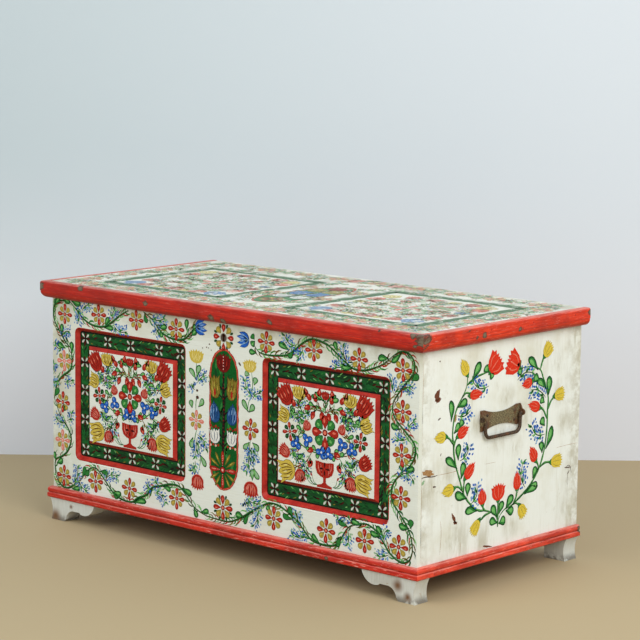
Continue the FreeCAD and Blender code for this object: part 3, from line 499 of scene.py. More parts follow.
# Each pigment and the shade that its brush marks leave
PIGMENTS = {
    "red": ("#B22A1C", "#8E1F14"), "bright_red": ("#E03A22", "#C42A16"), "deep_red": ("#7A160F", "#5E100B"),
    "salmon": ("#E47A62", "#D45E48"), "blush": ("#EDB9AC", "#E09F90"), "pink": ("#DB8A7A", "#CC6C5C"),
    "ochre": ("#B29C48", "#927E32"), "yellow": ("#D2B84E", "#B89C38"), "lemon": ("#E0C84A", "#CCAC30"),
    "straw": ("#E6D588", "#D8C26C"), "umber": ("#6A4A1E", "#4E3414"), "green": ("#35803A", "#266A2B"),
    "deep_green": ("#15461F", "#0D3317"), "leaf": ("#7DBC6B", "#5BA250"), "sage": ("#9CBB95", "#7DA379"),
    "azure": ("#2764C2", "#1B4C9C"), "teal": ("#205084", "#183C66"), "blue": ("#2C62AC", "#1F4C8C"),
    "pale_blue": ("#85AAD0", "#668FBC"), "navy": ("#1E3262", "#16254C"), "ink": ("#1E1915", "#14100D"),
    "brown": ("#553628", "#40281C"), "chalk": ("#E6E5DC", "#CFCDC1"), "olive": ("#85782A", "#6A5F1E"),
    "oval_green": ("#0D5C22", "#094718"), "wood": ("#764631", "#5E3626"), "tan": ("#B0875A", "#90683F"),
    "maroon": ("#4A110E", "#360C0A"), "silver": ("#C9CDBE", "#AEB4A4"),
    # The bright paint of the painted highlight round the openings
    "bright_white": ("#FBFAF4", "#EFEDE2"),
}


# Brush strokes

class Coat:
    """The paint on one side of the chest. Its own X and Y run to the right and up as one faces that side."""

    def __init__(self, name, body, origin, axes, limits, ground, slot, fade=0.0, step=COAT_STEP, windows=()):
        self.name, self.body, self.slot, self.fade, self.windows = name, body, slot, fade, windows
        self.left, self.right_end, self.low, self.high = limits
        self.origin, self.right, self.up = Vector(origin), Vector(axes[0]), Vector(axes[1])
        self.out = self.right.cross(self.up)
        self.ground, self.step = ground, step
        self.points, self.faces, self.colours, self.paints = [], [], [], []

    def lay(self, outline, paint, level=0, depth=0.0):
        """One stroke. level is its coat, and depth how far in mm its ground lies under the side's face.
        A stroke on the face whose middle falls in a window is left out."""
        x, y = (sum(values) / len(outline) for values in zip(*outline))
        if not (self.left < x < self.right_end and self.low < y < self.high):
            return
        for cx, cy, half_x, half_y in self.windows:
            if not depth and abs(x - cx) < half_x and abs(y - cy) < half_y:
                return
        area = sum(a[0] * b[1] - b[0] * a[1] for a, b in zip(outline, outline[1:] + outline[:1]))
        if area < 0:
            outline = outline[::-1]
        height = FIRST_COAT + self.step * level - depth
        first = len(self.points)
        for spot in outline:
            self.add_point(spot, height)
        self.faces.append(tuple(range(first, len(self.points))))
        self.colours.append(self.shade(paint))

    def strip(self, left, right, paint, level=0, depth=0.0, closed=False):
        """A ribbon between two edges with as many points each."""
        height = FIRST_COAT + self.step * level - depth
        first = len(self.points)
        for pair in zip(left, right):
            for spot in pair:
                self.add_point(spot, height)
        count = len(left)
        for step in range(count if closed else count - 1):
            a, b = first + 2 * step, first + 2 * ((step + 1) % count)
            self.faces.append((a, a + 1, b + 1, b))
            self.colours.append(self.shade(paint))

    def add_point(self, spot, height):
        """One corner of a stroke. No paint runs past the edges of the side."""
        across = min(max(spot[0], self.left), self.right_end)
        upward = min(max(spot[1], self.low), self.high)
        self.points.append(self.origin + (self.right * across + self.up * upward + self.out * height) * MM)

    def shade(self, paint):
        if paint not in self.paints:
            self.paints.append(paint)
        return self.paints.index(paint)

    def finish(self):
        mesh = bpy.data.meshes.new(self.name)
        mesh.from_pydata([tuple(p) for p in self.points], [], self.faces)
        mesh.polygons.foreach_set("material_index", self.colours)
        for paint in self.paints:
            mesh.materials.append(pigment(paint, self.ground, self.fade))
        mesh.update()
        made = bpy.data.objects.new(self.name, mesh)
        bpy.context.collection.objects.link(made)
        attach(made, self.body)


# How far the paint of each side runs, in mm: left, right, low and high
FRONT_LIMITS = (-578.6, 578.6, 81.2, 546.4)
END_LIMITS = (-275.2, 286, 81.2, 546.4)
LID_LIMITS = (-584, 584, -282, 288)


def blend_hex(first, second, share):
    """A colour between two, nearer to the second as the share grows."""
    parts = [round(int(first[i:i + 2], 16) * (1 - share) + int(second[i:i + 2], 16) * share)
             for i in (1, 3, 5)]
    return "#" + "".join(f"{part:02X}" for part in parts)


# How much of the noise leaves the paint on, and how much less where it has faded
RUB_SHARE = 0.66
FADED_RUB_SHARE = 0.25


def pigment(paint, ground, fade):
    """A pigment on its ground, made once and faded towards the ground."""
    name = f"{paint}_oil_paint_on_{ground[1:].lower()}_faded_{round(100 * fade)}"
    if name in bpy.data.materials:
        return bpy.data.materials[name]
    code, shade = (blend_hex(colour, ground, fade) for colour in PIGMENTS[paint])
    return brushed_paint(name, code, shade, ground, RUB_SHARE - fade * FADED_RUB_SHARE)


def turned(outline, angle, x, y):
    """An outline turned by an angle and moved to x, y."""
    cos, sin = math.cos(angle), math.sin(angle)
    return [(x + a * cos - b * sin, y + a * sin + b * cos) for a, b in outline]


def beside(x, y, angle, along, aside=0):
    """The place reached from x, y by going along an angle, and then aside to its left."""
    return turned([(along, aside)], angle, x, y)[0]


def wobble(value, share=0.06):
    """A value made larger or smaller by up to a share of it, as a hand does."""
    return value * (1 + brush.uniform(-share, share))


# A petal's or leaf's half width along its length, as shares of each
PETAL_SHARES = ((0, 0.14), (0.2, 0.46), (0.42, 0.86), (0.64, 1), (0.84, 0.84), (0.96, 0.44), (1, 0))
LEAF_SHARES = ((0, 0.1), (0.22, 0.4), (0.45, 0.82), (0.66, 1), (0.85, 0.84), (0.96, 0.42), (1, 0))
TICK_SHARES = ((0, 0.4), (0.3, 1), (0.65, 0.75), (1, 0))
BLOT_SHARES = ((0, 0.5), (0.35, 1), (0.75, 0.8), (1, 0))
BUD_SHARES = ((0, 0.3), (0.12, 0.75), (0.35, 1), (0.6, 0.86), (0.82, 0.46), (1, 0))


def drop(coat, x, y, angle, length, width, paint, level=0, depth=0.0, shares=PETAL_SHARES, bend=0.0):
    """One pressed brush stroke, from its root at x, y towards an angle."""
    side = [(length * t, bend * length * math.sin(math.pi * t), width / 2 * w) for t, w in shares]
    outline = [(a, b - w) for a, b, w in side] + [(a, b + w) for a, b, w in side[::-1] if w > 0]
    coat.lay(turned(outline, angle, x, y), paint, level, depth)


# Dots up to this radius in mm have fewer corners
SMALL_DOT = 2.5


def dot(coat, x, y, radius, paint, level=0, depth=0.0, squash=1.0, angle=0.0):
    """A round blot, or an oval one whose second radius is the squash times the first."""
    count = 10 if radius > SMALL_DOT else 7
    outline = [(radius * math.cos(t), radius * squash * math.sin(t))
               for t in (2 * math.pi * k / count for k in range(count))]
    coat.lay(turned(outline, angle, x, y), paint, level, depth)


def smooth(points, steps=4):
    """A curve through points."""
    ends = [points[0], *points, points[-1]]
    line = []
    for a, b, c, d in zip(ends, ends[1:], ends[2:], ends[3:]):
        for step in range(steps):
            t = step / steps
            line.append(tuple(0.5 * (2 * q + (r - p) * t + (2 * p - 5 * q + 4 * r - s) * t * t
                                     + (3 * q - p - 3 * r + s) * t ** 3) for p, q, r, s in zip(a, b, c, d)))
    return line + [points[-1]]


# The width of a ribbon at its ends, and how far its edge strays, as shares of its width
TAPER_SHARE = 0.35
STRAY_SHARE = 0.18


def ribbon(coat, line, width, paint, level=0, depth=0.0, closed=False):
    """A stem or line along a curve, thinner at its ends."""
    left, right = [], []
    last = len(line) - 1
    for k, (x, y) in enumerate(line):
        if closed:
            (ax, ay), (bx, by) = line[k - 1], line[(k + 1) % len(line)]
        else:
            (ax, ay), (bx, by) = line[max(k - 1, 0)], line[min(k + 1, last)]
        length = math.hypot(bx - ax, by - ay) or 1
        share = 1 if closed else TAPER_SHARE + (1 - TAPER_SHARE) * min(1, 4 * min(k, last - k) / max(last, 1))
        half = wobble(width / 2 * share, STRAY_SHARE)
        nx, ny = (ay - by) / length * half, (bx - ax) / length * half
        left.append((x - nx, y - ny))
        right.append((x + nx, y + ny))
    coat.strip(left, right, paint, level, depth, closed)


def arched(x0, y0, x1, y1, bend, steps=6):
    """Points of a bow from one place to another, bend being its rise as a share of its length."""
    return [(x0 + (x1 - x0) * t - (y1 - y0) * bend * math.sin(math.pi * t),
             y0 + (y1 - y0) * t + (x1 - x0) * bend * math.sin(math.pi * t))
            for t in (k / steps for k in range(steps + 1))]


# The darker paint that edges a stroke of each colour, and the lighter one in its heart
EDGES = {"red": ("deep_red", "salmon"), "bright_red": ("deep_red", "salmon"), "pink": ("salmon", "blush"),
         "ochre": ("olive", "yellow"), "yellow": ("olive", "straw"), "olive": ("umber", "yellow"),
         "green": ("deep_green", "leaf"), "deep_green": ("ink", "green"), "blue": ("navy", "pale_blue"),
         "lemon": ("olive", "straw"), "azure": ("navy", "pale_blue"), "teal": ("navy", "pale_blue"),
         "deep_red": ("maroon", "red")}


# The body of a petal and the light in its heart: start along the petal, start beside its middle line, length
# and width, as shares of its length and width
BODY_SHARES = (0.07, 0.03, 0.89, 0.86)
LIGHT_SHARES = (0.42, 0.14, 0.38, 0.26)


def petal(coat, x, y, angle, length, width, paint, level=0, depth=0.0, shares=PETAL_SHARES, bend=0.0):
    """A stroke laid twice and lit with a third, so that it has an edge and a heart."""
    edge, light = EDGES[paint]
    drop(coat, x, y, angle, length, width, edge, level, depth, shares, bend)
    along, aside, long, wide = BODY_SHARES
    root = beside(x, y, angle, length * along, width * aside)
    drop(coat, *root, angle, length * long, width * wide, paint, level + 1, depth, shares, bend)
    along, aside, long, wide = LIGHT_SHARES
    root = beside(x, y, angle, length * along, width * brush.uniform(-aside, aside))
    drop(coat, *root, angle, length * long, width * wide, light, level + 2, depth, TICK_SHARES)


# A leaf's blade and its heart, as a petal's strokes are given. The heart's width is asked for leaf by leaf
BLADE_SHARES = (0.14, 0, 0.78, 0.74)
HEART_SHARES = (0.32, 0.05, 0.52)


def leaf(coat, x0, y0, x1, y1, width=15.5, level=1, core="leaf", rim="green", depth=0.0, heart_share=0.5):
    """A paddle leaf from its root to its tip: a dark edge, a blade and a bright heart."""
    length, angle = math.hypot(x1 - x0, y1 - y0), math.atan2(y1 - y0, x1 - x0)
    bend = brush.uniform(-0.09, 0.09)
    width = wobble(width, 0.12)
    drop(coat, x0, y0, angle, length, width, "deep_green", level, depth, LEAF_SHARES, bend)
    strokes = ((*BLADE_SHARES, rim), (*HEART_SHARES, heart_share, core))
    for higher, (along, aside, long, wide, paint) in enumerate(strokes, 1):
        root = beside(x0, y0, angle, length * along, width * aside)
        drop(coat, *root, angle, length * long, width * wide, paint, level + higher, depth, LEAF_SHARES, bend)


# The petals of a rosette, upright and slanted, and the leaves that may stand between them: start, length and
# width as shares of its radius
UPRIGHT_SHARES = (0.24, 0.8, 0.42)
SLANTED_SHARES = (0.27, 0.68, 0.5)
BETWEEN_SHARES = (0.72, 0.36, 0.2)
# Where the petals of a flower with an open middle end, and the radii of the two dots in a closed one
OPEN_TIP_SHARE = 1.04
CENTRE_SHARES = (0.21, 0.12)


def rosette(coat, x, y, radius, petals=("red", "ochre"), level=2, depth=0.0, tilt=0.0, between_leaves=False,
            faint=False, full=1.04, open_share=0.0):
    """An eight-petalled flower: narrow petals upright and across, broader ones between them.
    open_share of its radius stays free of paint in its middle."""
    tilt += brush.uniform(-0.06, 0.06)
    for k in range(8):
        angle = tilt + k * math.pi / 4
        paint = petals[k % 2]
        start, length, width = (UPRIGHT_SHARES, SLANTED_SHARES)[k % 2]
        if open_share > start:
            start, length = open_share, OPEN_TIP_SHARE - open_share
        if faint and paint == "red":
            paint = "pink"
        start, length, width = (wobble(share * radius) for share in (start, length, width * full))
        petal(coat, *beside(x, y, angle, start), angle, length, width, paint, level, depth)
        if between_leaves:
            angle += math.pi / 8
            start, length, width = (share * radius for share in BETWEEN_SHARES)
            drop(coat, *beside(x, y, angle, start), angle, length, width, "deep_green", level - 1, depth)
    if not open_share:
        dots = ("salmon", "blush") if faint else ("deep_red", "salmon")
        for higher, (share, paint) in enumerate(zip(CENTRE_SHARES, dots), 2):
            dot(coat, x, y, radius * share, paint, level + higher, depth)


# Half a tulip's outline from its root to its middle tip: shares of its length and of its half width
TULIP_SHARES = ((0, 0.12), (0.05, 0.5), (0.2, 0.86), (0.4, 1), (0.6, 0.94), (0.8, 0.98), (0.99, 1.1),
                (0.84, 0.66), (0.95, 0.5), (0.8, 0.3), (0.92, 0.16), (1, 0))
JAGGED_SHARES = (
    (0, 0.12), (0.04, 0.44), (0.14, 0.7), (0.28, 0.9), (0.44, 1), (0.6, 0.98), (0.8, 1.14), (0.78, 0.8),
    (0.95, 0.82), (0.83, 0.52), (1, 0.42), (0.85, 0.2), (1.03, 0),
)
FAN_SHARES = (
    (0, 0.2), (0.08, 0.5), (0.28, 0.8), (0.5, 0.94), (0.8, 1.12), (0.84, 0.8), (1, 0.72), (0.86, 0.44),
    (1.03, 0.28), (0.88, 0.12), (1, 0),
)
BUD_TULIP_SHARES = (
    (0, 0.14), (0.05, 0.6), (0.2, 0.95), (0.4, 1), (0.56, 0.86), (0.72, 0.72), (0.66, 0.5), (0.88, 0.36),
    (0.8, 0.22), (1, 0),
)


# A line up a tulip, bowed out from its root: places as shares of its length and of how far out the line lies
TULIP_LINE_SHARES = ((-0.36, 0.4), (-0.04, 1), (0.3, 0.92))
TULIP_SPREAD_SHARE = 0.68
# The thinnest such line, in mm
TULIP_LINE = 1.1


def tulip(coat, x, y, angle, length, width, paint, lines, level=2, depth=0.0, shares=TULIP_SHARES, count=4,
          edge=0.9, lit=True):
    """A tulip whose middle is at x, y and whose tips point along an angle in degrees, edged with its lines'
    paint."""
    turn = math.radians(angle)
    ragged = [(t, wobble(w, 0.05)) for t, w in shares]
    for grown, colour, coat_level in ((edge, lines, level), (0, paint, level + 1)):
        half = [((length + 2 * grown) * (t - 0.5), width / 2 * w + (grown if w > 0 else 0))
                for t, w in ragged]
        outline = [(a, -b) for a, b in half] + [(a, b) for a, b in half[::-1] if b > 0]
        coat.lay(turned(outline, turn, x, y), colour, coat_level, depth)
    for k in range(count):
        share = (k - (count - 1) / 2) / max((count - 1) / 2, 1)
        rise = wobble(TULIP_SPREAD_SHARE * width / 2 * share, 0.15)
        line = [(length * t, rise * w) for t, w in TULIP_LINE_SHARES]
        line = turned(smooth(line, 3), turn, x, y)
        ribbon(coat, line, max(width * 0.05, TULIP_LINE), lines, level + 2, depth)
    if lit and paint in EDGES:
        light = EDGES[paint][1]
        for side in (-0.5, 0.1, 0.6):
            spot = beside(x, y, turn, length * brush.uniform(-0.2, 0.0), side * width * 0.5)
            drop(coat, *spot, turn, length * 0.26, width * 0.08, light, level + 3, depth, TICK_SHARES)


def spray(coat, x0, y0, x1, y1, bend=0.15, paints=("blue", "pale_blue", "azure", "pale_blue", "sage"),
          size=4.4, level=1, depth=0.0):
    """Forget-me-nots: a bowed stem with blots of paint down both its sides, and a leaf or two among them."""
    count = max(4, round(math.hypot(x1 - x0, y1 - y0) / (size * 1.25)))
    line = arched(x0, y0, x1, y1, bend, count * 2)
    ribbon(coat, line, size * 0.5, "deep_green", level, depth)
    for k in range(count):
        x, y = line[2 * k + 1]
        ax, ay = line[2 * k + 2]
        heading = math.atan2(ay - y, ax - x)
        for side in (1, -1):
            for row in range(3):
                if row and (k + side + row) % 3 == 0:
                    continue
                reach, scale = 0.9 + 1.05 * row, 1 - 0.12 * row
                spot = beside(x, y, heading, size * 0.3 * reach, size * reach * side)
                drop(coat, *spot, heading + side * brush.uniform(0.2, 1.0), wobble(size * 1.4 * scale, 0.2),
                     size * scale, brush.choice(paints), level + 1, depth, BLOT_SHARES)
        if k % 3 == 1:
            for lean, length, width, paint in ((0.5, 3.2, 1, "green"), (0.8, 2.6, 0.9, "leaf")):
                drop(coat, x, y, heading + brush.choice((-lean, lean)), size * length, size * width, paint,
                     level + 2, depth, TICK_SHARES, 0.1)


def thorns(coat, line, count, paints, size, level, depth, width):
    """Flicks of the brush off a stem, all leaning the way it grows."""
    for k in range(count):
        at = 1 + round((len(line) - 3) * (k + 0.5) / count)
        (x, y), (ax, ay) = line[at], line[at + 1]
        heading = math.atan2(ay - y, ax - x)
        side = 1 if k % 2 else -1
        drop(coat, x, y, heading + side * brush.uniform(0.22, 0.5), wobble(size, 0.25), wobble(width, 0.2),
             brush.choice(paints), level, depth, TICK_SHARES, 0.2 * side)


# A vine's width in mm, and its strokes from the lowest coat up: right and up of its line and width, as shares
# of its width, and paint
VINE_WIDTH = 4.4
VINE_STROKE_SHARES = ((0.3, -0.4, 0.8, "umber"), (0, 0, 1, "deep_green"), (-0.12, 0.15, 0.36, "green"))
# The two kinds of flicks off it: how many at least, paints, length, coat and width. A vine has four more of
# each kind for each step of richness
FLICK_PAINTS = ("red", "umber", "green", "leaf", "deep_green")
VINE_FLICKS = ((6, FLICK_PAINTS, 21, 1, 3.2), (5, ("leaf", "sage", "olive", "green"), 23, 0, 3.8))


def vine(coat, points, richness):
    """A main stem: dark green, with a lighter stroke on it, a brown one under it, and flicks of the brush."""
    line = smooth(points)
    for level, (right, up, wide, paint) in enumerate(VINE_STROKE_SHARES):
        stroke = [(x + VINE_WIDTH * right, y + VINE_WIDTH * up) for x, y in line]
        ribbon(coat, stroke, VINE_WIDTH * wide, paint, level)
    for least, paints, size, level, width in VINE_FLICKS:
        thorns(coat, line, least + 4 * richness, paints, size, level, 0, width)


# The front: places in mm from the middle of the chest and up from the floor

# Points of each vine, and how rich it is in flicks
FRONT_VINES = (
    (((-573, 113), (-572, 147), (-548, 160), (-527, 177), (-515, 207), (-527, 233), (-552, 258),
     (-575, 300)), 2),
    (((-575, 300), (-567, 333), (-547, 357), (-517, 377), (-511, 400), (-514, 430)), 2),
    (((-514, 430), (-530, 440), (-550, 462), (-572, 490), (-577, 515), (-562, 540), (-517, 543)), 6),
    (((-517, 543), (-490, 523), (-467, 505), (-433, 494), (-395, 496), (-367, 511), (-340, 529),
     (-313, 543)), 4),
    (((-262, 545), (-233, 530), (-205, 506), (-180, 495), (-153, 492), (-127, 496), (-108, 511),
     (-88, 531)), 6),
    (((92, 512), (110, 494), (137, 490), (167, 492), (197, 497), (220, 511), (240, 527), (270, 541),
     (312, 535), (340, 520), (367, 503), (393, 490), (423, 490), (450, 498), (477, 510), (500, 527)), 12),
    (((500, 527), (523, 542), (548, 541), (563, 525), (562, 502), (545, 480), (524, 457), (507, 433)), 5),
    (((507, 433), (505, 412), (517, 392), (543, 371), (566, 350), (570, 327), (556, 300), (533, 283)), 5),
    (((533, 283), (512, 258), (505, 237), (508, 215), (530, 190), (550, 167), (563, 140), (566, 113)), 5),
    (((566, 113), (556, 92), (533, 86), (503, 100), (483, 123), (463, 143), (437, 153), (410, 150)), 4),
    (((410, 150), (383, 137), (363, 110), (350, 93), (317, 86), (277, 90), (257, 104), (237, 122),
     (217, 135), (183, 150), (150, 155), (115, 139), (80, 119), (50, 102), (17, 90), (-20, 90), (-53, 92)),
     12),
    (((-53, 92), (-87, 103), (-113, 123), (-140, 146), (-170, 148), (-203, 139), (-232, 131), (-252, 110),
     (-280, 99), (-305, 84), (-345, 88), (-370, 100), (-398, 125), (-425, 147), (-450, 143), (-475, 118)),
     12),
    (((-475, 118), (-500, 98), (-533, 83), (-558, 92), (-573, 113)), 3),
)
FRONT_ROSETTES = (
    (-535, 510, 24), (-415, 521, 25), (-286, 522, 24), (-153, 516, 25), (133, 518, 25), (277, 516, 25),
    (409, 512, 25), (533, 503, 25), (-544, 294, 25), (-541, 112, 25),
    (-428, 115, 26), (-310, 116, 25), (-150, 117, 25), (160, 120, 27), (318, 119, 27), (431, 115, 27),
    (528, 118, 26), (534, 414, 25), (533, 319, 25), (532, 226, 26), (86, 314, 25),
)
# Root and tip of each leaf
FRONT_LEAVES = (
    (-513, 546, -478, 540), (-545, 548, -516, 540), (-573, 530, -552, 548), (-393, 497, -380, 519),
    (-396, 492, -364, 493), (-545, 458, -546, 486), (-512, 418, -512, 446), (-533, 427, -563, 436),
    (-575, 303, -558, 327), (-546, 270, -533, 288), (-570, 145, -578, 167), (-568, 140, -545, 152),
    (-513, 85, -483, 90), (-477, 117, -465, 146), (-470, 124, -451, 137), (-413, 142, -382, 140),
    (-370, 98, -338, 98), (-368, 96, -352, 84), (-297, 83, -252, 93), (-258, 543, -250, 519),
    (-213, 511, -183, 518), (-206, 507, -199, 491), (-118, 516, -118, 543), (-104, 506, -87, 520),
    (203, 507, 170, 521), (217, 506, 199, 493), (104, 490, 80, 492), (346, 521, 336, 543),
    (390, 490, 355, 491), (493, 523, 462, 520), (528, 541, 500, 516), (556, 484, 577, 498),
    (528, 375, 501, 383), (541, 286, 569, 296), (536, 283, 531, 299), (557, 163, 527, 166),
    (560, 163, 561, 184), (423, 148, 390, 156), (484, 130, 464, 154), (478, 133, 446, 138),
    (362, 114, 351, 87), (300, 87, 276, 105), (382, 138, 352, 147), (213, 126, 187, 134),
    (220, 129, 206, 156), (83, 118, 68, 92), (68, 107, 40, 112), (-70, 98, -45, 104), (-94, 105, -83, 82),
    (-133, 145, -100, 134), (-196, 138, -170, 132), (97, 520, 88, 531), (98, 517, 86, 506),
    (-100, 519, -86, 531), (-99, 523, -80, 520), (150, 135, 138, 146),
)
# Root, tip and bow of each spray
FRONT_SPRAYS = (
    (-475, 523, -438, 540, 0.2), (-500, 528, -487, 492, 0.25), (-366, 512, -355, 543, 0.2),
    (-366, 505, -318, 492, -0.2), (-546, 452, -518, 470, 0.2), (-540, 432, -574, 440, 0.35),
    (-570, 360, -574, 385, 0.2), (-556, 348, -577, 338, 0.1), (-540, 346, -512, 352, -0.15),
    (-530, 250, -512, 272, -0.2), (-535, 243, -574, 255, 0.15), (-506, 95, -493, 143, -0.12),
    (-396, 122, -348, 136, 0.2), (-486, 106, -452, 88, -0.2), (-236, 533, -188, 538, -0.12),
    (-218, 517, -222, 493, 0.15), (-205, 139, -225, 152, 0.2), (-232, 126, -255, 134, 0.1),
    (-228, 118, -188, 100, 0.2), (224, 520, 188, 542, 0.2), (245, 519, 224, 493, 0.15),
    (378, 494, 361, 540, 0.1), (368, 500, 330, 493, 0.25), (508, 450, 505, 486, 0.15),
    (527, 455, 563, 462, 0.25), (550, 372, 572, 398, 0.2), (548, 358, 512, 358, 0.2),
    (524, 268, 566, 270, 0.3), (488, 122, 497, 152, 0.2), (395, 147, 345, 152, -0.25),
    (383, 128, 380, 94, 0.1), (500, 96, 462, 88, 0.1), (245, 119, 232, 148, 0.2), (262, 97, 213, 95, 0.15),
    (72, 156, 120, 149, -0.15), (112, 137, 98, 93, 0.12), (67, 150, 70, 132, 0.3),
    (-84, 398, -54, 420, 0.1), (-92, 382, -100, 390, 0.2), (-84, 278, -56, 246, 0.2),
    (-90, 215, -102, 190, 0.2), (96, 388, 68, 430, 0.2), (92, 382, 121, 399, 0.2), (84, 276, 72, 215, 0.08),
    (94, 276, 104, 240, -0.1), (-87, 268, -90, 225, 0.05),
)
COLUMN_STEMS = (
    ((-87, 447), (-86, 425), (-86, 403)), ((-84, 372), (-88, 352), (-88, 334)),
    ((-85, 290), (-92, 265), (-95, 238)), ((-83, 272), (-77, 240), (-72, 222), (-80, 188)),
    ((88, 445), (92, 420), (89, 395), (79, 372), (78, 352)), ((86, 288), (82, 262), (78, 213)),
    ((95, 240), (98, 215), (92, 195)),
)
COLUMN_LEAVES = (
    (-88, 405, -110, 430), (-84, 412, -75, 441), (-80, 343, -64, 364), (-100, 338, -105, 357),
    (-97, 270, -102, 243), (-74, 232, -55, 206), (-88, 196, -97, 188), (97, 416, 103, 434),
    (80, 352, 60, 379), (81, 352, 97, 371), (83, 284, 64, 266), (92, 284, 112, 267), (93, 198, 95, 224),
    (97, 227, 113, 202), (82, 437, 67, 441),
)
# Middle and radius: the two faded pink, and those over and under the medallion
FAINT_ROSETTES = ((-87, 311, 23), (-538, 396, 25), (-545, 200, 25))
KEYHOLE_ROSETTE = (0, 514, 30)
FOOT_ROSETTE = (0, 119, 29)
# Root and angle of the two blue flowers that end the upper vines
FRONT_LILIES = ((-90, 528, 0.05), (80, 517, 3.2))
# Middle, angle, length, width, paint and lines of the tulips beside the medallion
FRONT_TULIPS = ((-87, 460, 90, 30, 42, "yellow", "straw"), (83, 458, 95, 28, 38, "yellow", "straw"),
                (-82, 166, 270, 36, 38, "red", "pink"), (88, 175, 270, 36, 42, "red", "pink"))
# Bare wood: middle, length, width and angle of a chip, and middle and radius of the specks
FRONT_CHIP = (51, 459, 11, 6, -48)
FRONT_SPECKS = (
    (-84, 381, 3.6), (-83, 365, 5), (-45, 493, 2.2), (-54, 485, 2.0), (-48, 484, 1.6), (-67, 482, 1.8),
    (-39, 480, 1.5),
)


def paint_front(coat):
    for points, richness in FRONT_VINES:
        vine(coat, points, richness)
    for stem in COLUMN_STEMS:
        ribbon(coat, smooth(stem), 2.0, "green")
    for place in FRONT_LEAVES:
        leaf(coat, *place, core=brush.choice(("leaf", "leaf", "green")), heart_share=0.28)
    for place in COLUMN_LEAVES:
        leaf(coat, *place, core="sage", rim="leaf")
    for place in FRONT_SPRAYS:
        spray(coat, *place)
    for place in FRONT_ROSETTES:
        rosette(coat, *place)
    for place in FAINT_ROSETTES:
        rosette(coat, *place, faint=True)
    rosette(coat, *KEYHOLE_ROSETTE, between_leaves=True, tilt=0.03, open_share=0.41)
    rosette(coat, *FOOT_ROSETTE, between_leaves=True, tilt=0.03)
    for place in FRONT_LILIES:
        lily(coat, *place)
    for place in FRONT_TULIPS:
        tulip(coat, *place, shares=JAGGED_SHARES, count=5)
    for x, y, radius in FRONT_SPECKS:
        dot(coat, x, y, radius, "brown", 2, squash=0.8)
    chip(coat, *FRONT_CHIP, "brown", 2)
    rims(coat)
    oval(coat)


# The petals of a blue flower, each with its lean and length, and the light lines between them
LILY_PETALS = ((-0.5, 34), (0.5, 34), (-0.18, 39), (0.2, 38))
LILY_PETAL_WIDTH = 13
LILY_LINES = (-0.36, 0.0, 0.36)
LILY_LINE_LENGTH = 30
LILY_LINE_WIDTH = 1.6


def lily(coat, x, y, angle):
    """A blue flower seen from the side: pointed petals that spread from its root."""
    for lean, length in LILY_PETALS:
        bend = lean * 0.25
        petal(coat, x, y, angle + lean, length, LILY_PETAL_WIDTH, "azure", 3, shares=BUD_SHARES, bend=bend)
    for lean in LILY_LINES:
        line = arched(x, y, *beside(x, y, angle + lean, LILY_LINE_LENGTH), lean * 0.3)
        ribbon(coat, line, LILY_LINE_WIDTH, "pale_blue", 6)


def long_round(cx, half_width, low, high, end):
    """A tall outline with straight sides and half-oval ends, as one walks round it."""
    arch = [(math.cos(t), math.sin(t)) for t in (math.pi * k / 14 for k in range(15))]
    top = [(cx + half_width * a, high - end + end * b) for a, b in arch]
    return top + [(cx - half_width * a, low + end - end * b) for a, b in arch]


# The medallion: its middle, half width, foot, top and the height of each round end
OVAL = (2, 44, 162, 486, 66)
OVAL_STEM = ((1, 440), (0, 400), (2, 350), (1, 300), (0, 255), (0, 234))
# The heights of the loose green strokes over it, and of the short dark twigs on both sides of its stem
OVAL_MARKS = range(186, 462, 11)
OVAL_TWIGS = (372, 392, 316, 334, 262, 282)
# The strokes in its olive tulips: how far out, foot, lean in degrees, length, paint, coat and bow
OLIVE_STROKES = (
    (32, 374, 96, 38, "ochre", 4, 0.1), (21, 380, 84, 34, "olive", 4, -0.1), (27, 376, 90, 20, "red", 5, 0),
)


